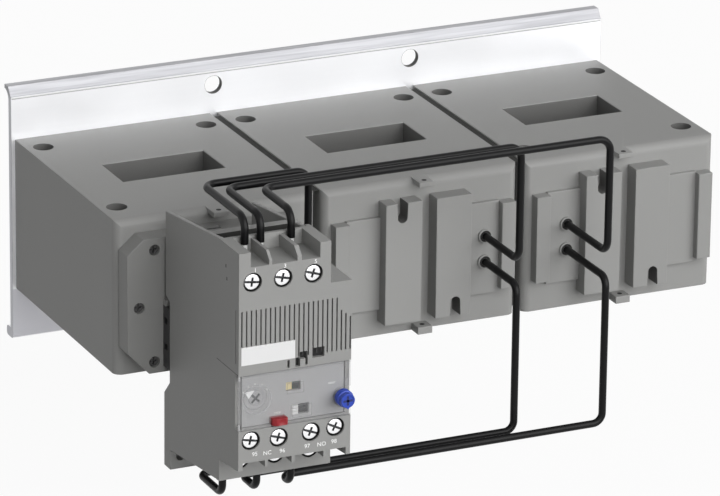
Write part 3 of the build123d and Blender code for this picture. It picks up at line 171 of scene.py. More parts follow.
class NodeMaker:
    """Builds the nodes of one material or world."""

    def __init__(self, owner: bpy.types.ID) -> None:
        """Empties the owner's node tree.

        Args:
            owner: the material or world that holds the nodes.
        """
        owner.use_nodes = True
        self.tree = owner.node_tree
        self.tree.nodes.clear()

    def node(
        self,
        kind: str,
        settings: Optional[dict[str, object]] = None,
        inputs: Optional[dict[object, object]] = None,
        output: object = 0,
    ) -> Wire:
        """Adds one node.

        Args:
            kind: the node's type.
            settings: properties that are set before its sockets.
            inputs: numbers, tuples or Wires by socket name or index.
            output: name or index of the socket to go on from.

        Returns:
            The chosen output.
        """
        made = self.tree.nodes.new(kind)
        for key, value in (settings or {}).items():
            setattr(made, key, value)
        for key, value in (inputs or {}).items():
            if isinstance(value, Wire):
                self.tree.links.new(value.socket, made.inputs[key])
            else:
                made.inputs[key].default_value = value
        return Wire(self, made.outputs[output] if made.outputs else None)

    def coordinates(self) -> Wire:
        """The point's Object coordinates."""
        return self.node("ShaderNodeTexCoord", output="Object")

    def along(self, axis: str) -> Wire:
        """The point's Object coordinate on one axis."""
        return self.node("ShaderNodeSeparateXYZ", {}, {0: self.coordinates()}, axis)

    def step(self, value: Wire, band: Span) -> Wire:
        """Factor that runs from 0 at a band's first value to 1 at its second."""
        ends = {"Value": value, "From Min": band[0], "From Max": band[1]}
        return self.node("ShaderNodeMapRange", {}, ends)

    def noise(self, scale: float, stretch: Triple, detail: float) -> Wire:
        """Noise on Object coordinates.

        Args:
            scale: how many waves there are in a metre.
            stretch: scale along each axis.
            detail: octaves of noise.

        Returns:
            The noise factor.
        """
        place = {"Vector": self.coordinates(), "Scale": stretch}
        mapped = self.node("ShaderNodeMapping", {}, place)
        values = {"Vector": mapped, "Scale": scale, "Detail": detail}
        return self.node("ShaderNodeTexNoise", {}, values)

    def tint(self, factor: Wire, low: object, high: object) -> Wire:
        """Colour that runs between two colours.

        Args:
            factor: where between the two a point lies.
            low: colour, or Wire of one, at 0.
            high: colour, or Wire of one, at 1.

        Returns:
            The colour.
        """
        ends = [end if isinstance(end, Wire) else (*end, 1.0) for end in (low, high)]
        sockets = {0: factor, 6: ends[0], 7: ends[1]}
        return self.node("ShaderNodeMix", {"data_type": "RGBA"}, sockets, 2)

    def bump(self, height: Wire, distance: float, strength: float = 0.25) -> Wire:
        """Normal of a fine relief.

        Args:
            height: the relief's pattern.
            distance: its height in metres.
            strength: how strongly it shows.

        Returns:
            The bumped normal.
        """
        values = {"Height": height, "Strength": strength, "Distance": distance}
        return self.node("ShaderNodeBump", {}, values)


@dataclass(frozen=True)
class PlatePaintedShades:
    """Bands of the plate, in metres, that carry painted shade, painted shadow and painted
    reflection.
    """

    lip_foot: Span = (0.0479, 0.0481)
    lip_lines: Span = (0.35, 0.65)
    # Painted shade: the folded lip is darkened between these two colours, and has less metal.
    lip_painted_shade_dark: Triple = (0.43, 0.433, 0.46)
    lip_painted_shade_pale: Triple = (0.57, 0.573, 0.60)
    lip_metal_drop: float = 0.5
    # Painted shadow and reflection on the web under and in front of the transformers.
    web_top: Span = (-0.0306, -0.0312)
    web_front: Span = (-0.0020, -0.0024)
    web_painted_shadow: Triple = (0.60, 0.60, 0.635)
    # Painted shade on the plate's end faces, beyond these shares of its half width.
    half_width: float = 0.1275
    end_shares: Span = (0.9975, 0.999)

    def lip(self, maker: NodeMaker) -> Wire:
        """Factor that is 1 on the folded lip."""
        return maker.step(maker.along("Z"), self.lip_foot)

    def colour(self, maker: NodeMaker, plain: Wire, lines: Wire) -> Wire:
        """The plate's colour over all its bands, with their painted shade, shadow and reflection.

        Args:
            maker: the material's maker.
            plain: colour of the plain metal.
            lines: noise drawn out along the plate.

        Returns:
            The colour.
        """
        # Painted shadow and reflection on the web under and in front of the transformers.
        below = maker.step(maker.along("Z"), self.web_top)
        front = maker.step(maker.along("Y"), self.web_front)
        web = maker.tint(below * front, plain, self.web_painted_shadow)
        # Painted shade on the lip, with the drawn lines as grain.
        drawn = maker.tint(maker.step(lines, self.lip_lines), self.lip_painted_shade_dark, self.lip_painted_shade_pale)
        across = maker.along("X")
        # Painted shade on the end faces.
        low, high = (share * self.half_width**2 for share in self.end_shares)
        ends = maker.step(across * across, (low, high))
        return maker.tint(ends, maker.tint(self.lip(maker), web, drawn), self.lip_painted_shade_dark)


@dataclass(frozen=True)
class Finish:
    """A surface finish, by its colour, gloss and texture."""

    name: str
    colour: Triple
    roughness: float
    metallic: float = 0.0
    grain: Grain = Grain.NONE
    relief: float = 0.0
    shine: float = 0.5
    coat: float = 0.0
    alpha: float = 1.0
    spread: float = 0.03

    def shifted(self, amount: float) -> Triple:
        """The colour made lighter or darker by a share of itself."""
        return tuple(min(1.0, max(0.0, part * (1 + amount))) for part in self.colour)

    def build(self) -> bpy.types.Material:
        """Makes the material.

        Returns:
            A node material on Object coordinates.
        """
        material = bpy.data.materials.new(self.name)
        maker = NodeMaker(material)
        inputs: dict[object, object] = {
            "Base Color": (*self.colour, 1.0),
            "Roughness": self.roughness,
            "Metallic": self.metallic,
            "Coat Weight": self.coat,
            "Alpha": self.alpha,
            "Specular IOR Level": self.shine,
        }
        inputs.update(self.textured(maker))
        shader = maker.node("ShaderNodeBsdfPrincipled", {}, inputs)
        maker.node("ShaderNodeOutputMaterial", {}, {"Surface": shader})
        return material

    def textured(self, maker: NodeMaker) -> dict[object, object]:
        """The inputs that change over the surface.

        Args:
            maker: the material's maker.

        Returns:
            Wires by the name of the shader's socket.
        """
        texture = self.grain.value
        if texture is None:
            return {}
        inputs: dict[object, object] = {}
        fine = maker.noise(texture.fine_scale, texture.fine_stretch, texture.fine_detail)
        gloss = fine
        if texture.cloud_share:
            cloud = maker.noise(texture.cloud_scale, texture.cloud_stretch, texture.cloud_detail)
            mottled = cloud * texture.cloud_share + fine * (1 - texture.cloud_share)
            ends = self.shifted(-self.spread), self.shifted(self.spread)
            inputs["Base Color"] = maker.tint(mottled, *ends)
            gloss = cloud if texture.cloudy_gloss else fine
        # Painted shade, shadow and reflection on the plate's bands, and less metal on the lip.
        if self.grain is Grain.EXTRUDED:
            zones = PlatePaintedShades()
            inputs["Base Color"] = zones.colour(maker, inputs["Base Color"], fine)
            inputs["Metallic"] = self.metallic - zones.lip(maker) * zones.lip_metal_drop
        swing = texture.gloss_swing
        inputs["Roughness"] = self.roughness - swing + gloss * (2 * swing)
        inputs["Normal"] = maker.bump(fine, self.relief * MM)
        return inputs


MOULDED, PLATED = Grain.MOULDED, Grain.PLATED
FINISHES: dict[str, Finish] = {
    finish.name: finish
    for finish in (
        Finish("grey_housing", (0.31, 0.31, 0.303), 0.5, 0.0, MOULDED, 0.05, 0.25),
        Finish("grey_adapter", (0.285, 0.285, 0.278), 0.52, 0.0, MOULDED, 0.05, 0.25),
        Finish("dark_cover", (0.13, 0.13, 0.128), 0.55, 0.0, MOULDED, 0.05),
        Finish("black_plastic", (0.018, 0.018, 0.019), 0.45, 0.0, MOULDED, 0.04),
        Finish("aluminium", (0.93, 0.935, 0.955), 0.42, 0.6, Grain.EXTRUDED, 0.03, spread=0.04),
        Finish("core_steel", (0.35, 0.36, 0.38), 0.4, 1.0, PLATED, 0.03),
        Finish("winding_tape", (0.55, 0.38, 0.12), 0.5, 0.0, MOULDED, 0.1),
        Finish("screw_steel", (0.55, 0.55, 0.55), 0.35, 1.0, PLATED, 0.02),
        Finish("terminal_screw", (0.93, 0.93, 0.94), 0.28, 0.85, PLATED, 0.01),
        # Painted shade for the floors and walls of the screw and dial slots.
        Finish("painted_recess_shade", (0.075, 0.078, 0.082), 0.45, 0.4),
        # Painted shade: screws sunk in holes are darkened to stand for the shade there.
        Finish("sunk_screw_painted_shade", (0.12, 0.12, 0.12), 0.4, 0.8, PLATED, 0.02),
        Finish("terminal_brass", (0.75, 0.6, 0.3), 0.35, 1.0, PLATED, 0.02),
        Finish("bare_wire", (0.95, 0.95, 0.94), 0.3, 0.4),
        Finish("lead_black", (0.003, 0.003, 0.0033), 0.34, 0.0, MOULDED, 0.02, 0.16),
        Finish("tail_wire", (0.4, 0.05, 0.04), 0.35),
        Finish("label_white", (0.78, 0.78, 0.78), 0.4, 0.0, MOULDED, 0.01),
        Finish("panel_grey", (0.415, 0.415, 0.418), 0.5, 0.0, MOULDED, 0.03, 0.3),
        Finish("clear_cover", (0.50, 0.50, 0.51), 0.16, coat=0.2, alpha=0.13),
        Finish("dial_grey", (0.40, 0.40, 0.405), 0.45, 0.0, MOULDED, 0.03, 0.3),
        Finish("pointer_white", (0.95, 0.95, 0.95), 0.5),
        Finish("knob_blue", (0.016, 0.055, 0.42), 0.36, coat=0.1),
        Finish("knob_dark", (0.004, 0.012, 0.11), 0.5),
        Finish("button_red", (0.27, 0.010, 0.016), 0.36, shine=0.4),
        Finish("flag_yellow", (0.72, 0.6, 0.3), 0.5),
        Finish("lever_white", (0.82, 0.82, 0.82), 0.5),
        Finish("board_green", (0.02, 0.16, 0.07), 0.35, 0.0, MOULDED, 0.03),
        Finish("shade_black", (0.006, 0.006, 0.006), 0.8),
        Finish("well_shade", (0.05, 0.05, 0.048), 0.8, shine=0.1),
        # Painted shade for the walls of openings in the housings and the plate.
        Finish("painted_opening_shade", (0.15, 0.15, 0.146), 0.55, 0.0, MOULDED, 0.05, 0.15),
        Finish("groove_shade", (0.03, 0.03, 0.03), 0.8),
    )
}
DRESSED_AS: dict[str, str] = {
    "lead_grommets": "grey_housing",
    # The adapter's and the transformers' sunk screws take the painted shade.
    "adapter_screws": "sunk_screw_painted_shade",
    "ct_screws": "sunk_screw_painted_shade",
}


@dataclass
class Wardrobe:
    """Makes each material once and dresses pieces in it."""

    made: dict[str, bpy.types.Material] = field(default_factory=dict)

    def material(self, slot: str) -> bpy.types.Material:
        """The material of a finish, made at its first use."""
        if slot not in self.made:
            self.made[slot] = FINISHES[slot].build()
        return self.made[slot]

    def dress_frame(self) -> None:
        """Gives each CAD node the finish of its material slot in the record, or the one that
        DRESSED_AS lists for it.
        """
        for entry in frame["record"]["subparts"]:
            node = frame["nodes"][entry["node"]]
            node.data.materials.clear()
            slot = DRESSED_AS.get(entry["node"], entry["material_slot"])
            node.data.materials.append(self.material(slot))
        LOG.info("dressed %d nodes", len(frame["nodes"]))


@dataclass(frozen=True)
class RelayFrame:
    """The relay's own distances: across, deep and up, in millimetres."""

    origin: Vector

    @classmethod
    def from_cad(cls) -> "RelayFrame":
        """Reads where the relay stands from its front housing."""
        low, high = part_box("relay_front")
        return cls(Vector((low.x, low.y, high.z - HEAD_TOP * MM)))

    def at(self, across: float, depth: float, height: float) -> Vector:
        """The point in the row frame, in metres."""
        return self.origin + Vector((across, depth, height)) * MM


def linked(name: str, data: bpy.types.ID) -> bpy.types.Object:
    """Puts an object into the scene.

    Args:
        name: the object's name.
        data: its mesh, letters, light or camera.

    Returns:
        The object, at the origin.
    """
    made = bpy.data.objects.new(name, data)
    bpy.context.scene.collection.objects.link(made)
    return made


def evaluated(source: bpy.types.Object) -> bpy.types.Mesh:
    """The mesh that an object's modifiers or letters give.

    Args:
        source: the object.

    Returns:
        A mesh of its own.
    """
    bpy.context.view_layer.update()
    graph = bpy.context.evaluated_depsgraph_get()
    return bpy.data.meshes.new_from_object(source.evaluated_get(graph))


class Shape:
    """A mesh that bmesh operators build, in metres in the row frame."""

    def __init__(self) -> None:
        """Starts an empty mesh."""
        self.mesh = bmesh.new()

    @classmethod
    def copy_of(cls, node: str) -> "Shape":
        """Copies a CAD node and merges its loose triangles.

        Args:
            node: the CAD node.

        Returns:
            The merged copy.
        """
        shape = cls()
        source = frame["nodes"][node]
        shape.mesh.from_mesh(source.data)
        shape.mesh.transform(source.matrix_world)
        bmesh.ops.remove_doubles(shape.mesh, verts=shape.mesh.verts, dist=COPY_MERGE)
        return shape

    def box(self, low: Vector, high: Vector, edge: float = 0.0, segments: int = 2) -> "Shape":
        """Adds a box between two corners.

        Args:
            low: lowest corner.
            high: highest corner.
            edge: width of its rounded edges, or 0.
            segments: steps of the rounding.

        Returns:
            This shape.
        """
        matrix = Matrix.Translation((low + high) / 2) @ Matrix.Diagonal((*(high - low), 1.0))
        made = bmesh.ops.create_cube(self.mesh, size=1.0, matrix=matrix)
        if edge > 0:
            edges = list({e for v in made["verts"] for e in v.link_edges})
            self.bevel(edges, edge, segments)
        return self

    def bevel(self, edges: Sequence[bmesh.types.BMEdge], width: float, segments: int) -> None:
        """Rounds edges of the mesh.

        Args:
            edges: the edges.
            width: width of the rounding in metres.
            segments: steps of the rounding.
        """
        bmesh.ops.bevel(
            self.mesh,
            geom=list(edges),
            offset=width,
            segments=segments,
            profile=0.5,
            affect="EDGES",
            material=-1,
        )

    def lathe(self, centre: Vector, profile: Iterable[Place], steps: int = 48) -> "Shape":
        """Turns an outline about an axis through a point, along Y.

        Args:
            centre: a point on the axis, where the outline's depth is 0.
            profile: radius and depth of each point, in millimetres.
            steps: how many faces go round.

        Returns:
            This shape.
        """
        verts = [self.mesh.verts.new(centre + Vector((r, deep, 0)) * MM) for r, deep in profile]
        edges = [self.mesh.edges.new(pair) for pair in zip(verts, verts[1:])]
        bmesh.ops.spin(
            self.mesh,
            geom=verts + edges,
            cent=centre,
            axis=(0, 1, 0),
            angle=2 * math.pi,
            steps=steps,
            use_merge=True,
        )
        bmesh.ops.remove_doubles(self.mesh, verts=self.mesh.verts, dist=SPIN_MERGE)
        bmesh.ops.recalc_face_normals(self.mesh, faces=self.mesh.faces)
        return self

    def ring(self, centre: Vector, walls: Span, depths: Span, steps: int = 40) -> "Shape":
        """Adds a flat ring about an axis along Y.

        Args:
            centre: a point on the axis, where depth is 0.
            walls: inner and outer radius in millimetres.
            depths: front and back in millimetres.
            steps: how many faces go round.

        Returns:
            This shape.
        """
        (inner, outer), (front, back) = walls, depths
        square = [(inner, front), (outer, front), (outer, back), (inner, back), (inner, front)]
        return self.lathe(centre, square, steps)

    def disc(self, top: Vector, radius: float, thickness: float, steps: int = 24) -> "Shape":
        """Adds a flat round plate whose top lies in a level plane.

        Args:
            top: middle of its top.
            radius: radius in millimetres.
            thickness: how far down it goes, in millimetres.
            steps: how many faces go round.

        Returns:
            This shape.
        """
        turns = [2 * math.pi * k / steps for k in range(steps)]
        rim = [top + Vector((math.cos(t), math.sin(t), 0)) * radius * MM for t in turns]
        return self.prism(rim, Vector((0, 0, -thickness * MM)))

    def prism(self, outline: Iterable[Vector], away: Vector) -> "Shape":
        """Adds a flat outline pushed along a direction.

        Args:
            outline: corners in order.
            away: how far and where the outline is pushed.

        Returns:
            This shape.
        """
        face = self.mesh.faces.new([self.mesh.verts.new(point) for point in outline])
        pushed = bmesh.ops.extrude_face_region(self.mesh, geom=[face])
        moved = [v for v in pushed["geom"] if isinstance(v, bmesh.types.BMVert)]
        bmesh.ops.translate(self.mesh, verts=moved, vec=away)
        bmesh.ops.recalc_face_normals(self.mesh, faces=self.mesh.faces)
        return self

    def moved(self, matrix: Matrix) -> "Shape":
        """Moves and turns all of the mesh."""
        bmesh.ops.transform(self.mesh, matrix=matrix, verts=self.mesh.verts)
        return self

    def as_object(self, name: str) -> bpy.types.Object:
        """Turns the mesh into an object at the origin.

        Args:
            name: the object's name.

        Returns:
            The object.
        """
        data = bpy.data.meshes.new(name)
        self.mesh.to_mesh(data)
        self.mesh.free()
        return linked(name, data)


@dataclass
class Workshop:
    """Finishes shapes into pieces that ride on the CAD's bodies."""

    wardrobe: Wardrobe
    relay: RelayFrame
    letter_scale: float = 1.35
    letter_relief: float = 0.06
    letter_steps: int = 3
    count: int = 0

    def piece(
        self,
        made: bpy.types.Object,
        body: Body,
        slot: str,
        record_slot: Optional[str] = None,
        smooth: Optional[float] = 35.0,
        replaces: Sequence[str] = (),
    ) -> bpy.types.Object:
        """Dresses a piece and lets it ride on its body.

        Args:
            made: the object, in place.
            body: the body that it rides on.
            slot: the name of its finish.
            record_slot: the record's slot that it takes, if any; not used.
            smooth: angle in degrees up to which edges look smooth, or None to keep its marks.
            replaces: the CAD nodes that it stands for.

        Returns:
            The same object.
        """
        made.data.materials.clear()
        made.data.materials.append(self.wardrobe.material(slot))
        if smooth is not None:
            made.data.shade_smooth()
            made.data.set_sharp_from_angle(angle=math.radians(smooth))
        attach(made, body.value)
        if replaces:
            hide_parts(*replaces)
        self.count += 1
        LOG.info("made %s on %s", made.name, body.value)
        return made

    def shade(
        self, made: bpy.types.Object, slot: str, inside: Callable[[Vector], bool]
    ) -> None:
        """Gives some faces of a finished piece a second finish.

        Args:
            made: the piece.
            slot: the name of the second finish.
            inside: says by a face's centre whether it is one of them.
        """
        made.data.materials.append(self.wardrobe.material(slot))
        for face in made.data.polygons:
            if inside(face.center):
                face.material_index = 1

    def carve(self, made: bpy.types.Object, cutter: Shape) -> None:
        """Cuts a shape out of an object.

        Args:
            made: what is cut.
            cutter: what is taken away; it is used up.
        """
        tool = cutter.as_object("cutter")
        modifier = made.modifiers.new("cut", "BOOLEAN")
        modifier.operation = "DIFFERENCE"
        modifier.solver = "EXACT"
        modifier.object = tool
        result = evaluated(made)
        made.modifiers.clear()
        made.data = result
        bpy.data.objects.remove(tool, do_unlink=True)

    def text(self, words: str, height: float, place: Vector) -> bpy.types.Object:
        """Raised lettering that faces the front.

        Args:
            words: what it says.
            height: height of the letters in millimetres.
            place: the middle of the word.

        Returns:
            A mesh object at the origin.
        """
        curve = bpy.data.curves.new(f"print_{words}", "FONT")
        curve.body = words
        curve.size = height * MM * self.letter_scale
        curve.extrude = self.letter_relief * MM / 2
        curve.align_x = "CENTER"
        curve.align_y = "CENTER"
        curve.resolution_u = self.letter_steps
        holder = linked("letters", curve)
        mesh = evaluated(holder)
        bpy.data.objects.remove(holder, do_unlink=True)
        mesh.transform(Matrix.Translation(place) @ Matrix.Rotation(math.pi / 2, 4, "X"))
        return linked(f"print_{words}", mesh)

    def join(self, name: str, parts: Sequence[bpy.types.Object]) -> bpy.types.Object:
        """Joins several objects into one.

        Args:
            name: the new name.
            parts: what is joined; they are used up.

        Returns:
            The joined object.
        """
        whole = Shape()
        for part in parts:
            whole.mesh.from_mesh(part.data)
            bpy.data.objects.remove(part, do_unlink=True)
        return whole.as_object(name)


@dataclass
class Assembly:
    """A sub-assembly, and the workshop that finishes its pieces."""

    shop: Workshop

    def at(self, across: float, depth: float, height: float) -> Vector:
        """The point at distances in the relay's frame."""
        return self.shop.relay.at(across, depth, height)

    def build(self) -> None:
        """Makes the pieces; each sub-assembly has its own way."""
        raise NotImplementedError

    def put(self, shape: Shape, name: str, slot: str, record_slot: Optional[str] = None) -> None:
        """Makes a piece of a shape, riding on the frame."""
        self.shop.piece(shape.as_object(name), Body.FRAME, slot, record_slot)

    def stand_in(
        self,
        made: bpy.types.Object,
        node: str,
        slot: str,
        smooth: Optional[float],
        body: Body = Body.FRAME,
    ) -> None:
        """Makes a piece that stands for one CAD node, in the node's own slot."""
        self.shop.piece(made, body, slot, slot, smooth, (node,))

    def block(
        self,
        shape: Shape,
        across: Span,
        deep: Span,
        up: Span,
        edge: float = 0.0,
        segments: int = 2,
    ) -> None:
        """Adds a box between distances in the relay's frame.

        Args:
            shape: the shape that takes it.
            across: left and right.
            deep: front and back.
            up: bottom and top.
            edge: width of its rounded edges in millimetres, or 0.
            segments: steps of the rounding.
        """
        low, high = (self.at(*corner) for corner in zip(across, deep, up))
        shape.box(low, high, edge * MM, segments)


@dataclass
class SoftEdges(Assembly):
    """Copies of the moulded housings whose long outer edges are slightly rounded."""

    nodes: tuple[tuple[str, str], ...] = (
        ("ct_housing_1", "grey_housing"),
        ("ct_housing_2", "grey_housing"),
        ("ct_housing_3", "grey_housing"),
        ("adapter_plate", "grey_adapter"),
        ("relay_base", "grey_housing"),
    )
    width: float = 0.28
    segments: int = 2
    shortest: float = 3.0
    sharpest: float = 35.0
    flat: float = 0.4
    crease: float = 20.0
    broad: float = 30.0
    broad_crease: float = 0.3
    seam_clear: float = 0.5
    rim: float = 0.5
    window_middle: Place = (41.0, -53.0)
    window_half: Place = (21.3, 10.95)
    holes: tuple[Place, ...] = ((6.9, -14.9), (75.1, -14.9), (6.9, -88.6), (75.1, -88.6))
    hole_radius: float = 4.15
    slot_front: float = -103.4
    slots: tuple[Triple, ...] = ((30.2, 46.8, 54.7), (52.9, 5.9, 14.1))
    slot_half: float = 2.15

    def build(self) -> None:
        """Makes the copies in place of their CAD nodes, with painted shade on the walls of their
        openings.
        """
        for node, slot in self.nodes:
            whole = self.softened(node)
            self.stand_in(whole, node, slot, None)
            if node.startswith("ct_housing"):
                low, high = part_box(node)
                corner, tall = Vector((low.x, 0, low.z)), (high.z - low.z) / MM
                # Painted shade on the walls of windows, tie-screw holes and rib slots.
                self.shop.shade(
                    whole,
                    "painted_opening_shade",
                    lambda point: self.is_sunk((point - corner) / MM, tall),
                )

    def is_sunk(self, point: Vector, tall: float) -> bool:
        """Whether a face lies inside a window, a tie-screw hole or a rib's slot.

        Args:
            point: the face's centre in millimetres, from the housing's lower left corner.
            tall: the housing's height.

        Returns:
            True for the walls of these openings.
        """
        x, y, z = point
        middle, half = self.window_middle, self.window_half
        in_window = abs(x - middle[0]) < half[0] and abs(y - middle[1]) < half[1]
        in_hole = any(math.hypot(x - a, y - d) < self.hole_radius for a, d in self.holes)
        in_slot = y < self.slot_front and any(
            abs(x - across) < self.slot_half and low < z < high for across, low, high in self.slots
        )
        return (z < tall - self.rim and (in_window or in_hole)) or in_slot

    def softened(self, node: str) -> bpy.types.Object:
        """Merges a node's triangles and rounds its long outer edges.

        Args:
            node: the CAD node.

        Returns:
            The rounded copy.
        """
        shape = Shape.copy_of(node)
        mesh = shape.mesh
        bmesh.ops.dissolve_limit(
            mesh,
            angle_limit=math.radians(self.flat),
            verts=mesh.verts,
            edges=mesh.edges,
            delimit={"NORMAL"},
        )
        bmesh.ops.recalc_face_normals(mesh, faces=mesh.faces)
        seam = -math.inf
        if node == "relay_base":
            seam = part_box(node)[0].y + self.seam_clear * MM
        outer = [edge for edge in mesh.edges if self.is_outer(edge, seam)]
        shape.bevel(outer, self.width * MM, self.segments)
        for face in mesh.faces:
            face.smooth = True
        for edge in mesh.edges:
            edge.smooth = not self.is_crease(edge)
        return shape.as_object(f"{node}_shown")

    def is_outer(self, edge: bmesh.types.BMEdge, seam: float) -> bool:
        """Whether an edge is long, outward and clear of the seam of the relay's halves.

        Args:
            edge: the edge.
            seam: depth up to which both ends of an edge belong to the seam.

        Returns:
            True if it is rounded.
        """
        if len(edge.link_faces) != 2 or not edge.is_convex:
            return False
        if edge.calc_length() < self.shortest * MM:
            return False
        if max(corner.co.y for corner in edge.verts) < seam:
            return False
        return edge.calc_face_angle() > math.radians(self.sharpest)

    def is_crease(self, edge: bmesh.types.BMEdge) -> bool:
        """Whether shading breaks at an edge: where it is sharp, or rims a broad flat face.

        Args:
            edge: the edge.

        Returns:
            True if it is marked sharp.
        """
        if len(edge.link_faces) != 2:
            return True
        broad = max(face.calc_area() for face in edge.link_faces) > self.broad * MM * MM
        limit = self.broad_crease if broad else self.crease
        return edge.calc_face_angle(0.0) > math.radians(limit)


@dataclass
class ScrewRow(Assembly):
    """A row of pan-head terminal screws with a slot crossed by a short recess."""

    node: str
    places: tuple[Place, ...]
    face_depth: float
    tip_depth: float
    turn: float = 8.0
    turn_step: float = 5.0
    head_radius: float = 3.0
    head_height: float = 1.8
    dome: tuple[Place, ...] = ((0.0, 0.0), (2.52, 0.0), (2.85, 0.09), (3.0, 0.34))
    shank_radius: float = 1.4
    point: Place = (0.4, 0.5)
    cut_start: float = -1.0
    cuts: tuple[Triple, ...] = ((6.6, 0.85, 0.88), (0.85, 3.5, 1.43), (3.5, 0.8925, 1.43))
    recess: Span = (0.12, 1.48)
    recess_rim: float = 0.12
    shade_rings: tuple[tuple[Span, Span], ...] = (
        ((3.06, 3.64), (1.5, 1.56)),
        ((3.62, 3.68), (0.12, 1.5)),
    )
    smooth: float = 40.0

    def build(self) -> None:
        """Makes the row in place of its CAD node, and the shades round its heads."""
        heads, shades = [], Shape()
        for number, (x, z) in enumerate(self.places):
            centre = self.at(x, self.face_depth, z)
            heads.append(self.head(number, centre))
            for walls, depths in self.shade_rings:
                shades.ring(centre, walls, depths)
        whole = self.shop.join(f"{self.node}_shown", heads)
        self.stand_in(whole, self.node, "terminal_screw", self.smooth)
        # Painted shade on the floors and walls of the heads' slots.
        self.shop.shade(whole, "painted_recess_shade", self.in_slot)
        self.put(shades, f"{self.node}_shades", "shade_black")

    def head(self, number: int, centre: Vector) -> bpy.types.Object:
        """Makes one screw.

        Args:
            number: its number in the row.
            centre: middle of its face.

        Returns:
            The screw with its slots cut.
        """
        radius, shank = self.head_radius, self.shank_radius
        under, tip = self.head_height, self.tip_depth - self.face_depth
        taper, length = self.point
        rest = [
            (radius, under),
            (shank, under),
            (shank, tip - length),
            (shank - taper, tip),
            (0, tip),
        ]
        made = Shape().lathe(centre, [*self.dome, *rest]).as_object(f"{self.node}_{number}")
        turn = math.radians(self.turn + self.turn_step * number)
        place = Matrix.Translation(centre) @ Matrix.Rotation(turn, 4, "Y")
        for long, wide, deep in self.cuts:
            low = Vector((-long / 2, self.cut_start, -wide / 2)) * MM
            high = Vector((long / 2, deep, wide / 2)) * MM
            self.shop.carve(made, Shape().box(low, high).moved(place))
        return made

    def in_slot(self, point: Vector) -> bool:
        """Whether a face of the row lies inside a head's slots.

        Args:
            point: the face's centre.

        Returns:
            True for the floors and walls of the slots.
        """
        front, back = self.recess
        for x, z in self.places:
            away = (point - self.at(x, self.face_depth, z)) / MM
            reach = math.hypot(away.x, away.z)
            if reach < self.head_radius - self.recess_rim and front < away.y < back:
                return True
        return False


@dataclass
class FrontField(Assembly):
    """The shades in the grooves and slots of the relay's front."""

    groove_count: int = 21
    groove_first: float = 1.2
    groove_pitch: float = 1.895
    groove_width: float = 0.5
    groove_depth: float = 1.1
    groove_top: float = 46.8
    groove_bottom: float = 26.0
    short_tops: tuple[float, ...] = (41.7, 40.3, 38.9)
    short_pitch: float = 1.8
    label_edge: float = 22.9
    label_top: float = 32.8
    slots: tuple[Window, ...] = (
        (19.4, 20.3, 22.3, 25.2),
        (22.6, 24.5, 22.2, 25.8),
        (24.3, 27.4, 25.0, 27.8),
        (26.6, 27.5, 22.4, 25.2),
        (29.4, 34.2, 24.7, 28.6),
    )
    slot_depth: float = 1.6
    thickness: float = 0.05
    clear: float = 0.02

    def grooves(self) -> list[tuple[float, float]]:
        """Place and top of each groove, the full ones first.

        Returns:
            One pair for each groove.
        """
        places = [self.groove_first + k * self.groove_pitch for k in range(self.groove_count)]
        short = [
            (places[-1] + (k + 1) * self.short_pitch, top) for k, top in enumerate(self.short_tops)
        ]
        return [(place, self.groove_top) for place in places] + short

    def build(self) -> None:
        """Makes the shades that lie on the floors of grooves and slots."""
        lines, floors = Shape(), Shape()
        half, clear = self.groove_width / 2, self.clear
        deep = (self.groove_depth - self.thickness, self.groove_depth)
        for x, top in self.grooves():
            low = self.label_top if x < self.label_edge else self.groove_bottom
            self.block(lines, (x - half, x + half), deep, (low + clear, top - clear))
        self.put(lines, "groove_shades", "groove_shade")
        deep = (self.slot_depth - self.thickness, self.slot_depth)
        for left, right, low, high in self.slots:
            self.block(floors, (left + clear, right - clear), deep, (low + clear, high - clear))
        self.put(floors, "slot_shades", "shade_black")


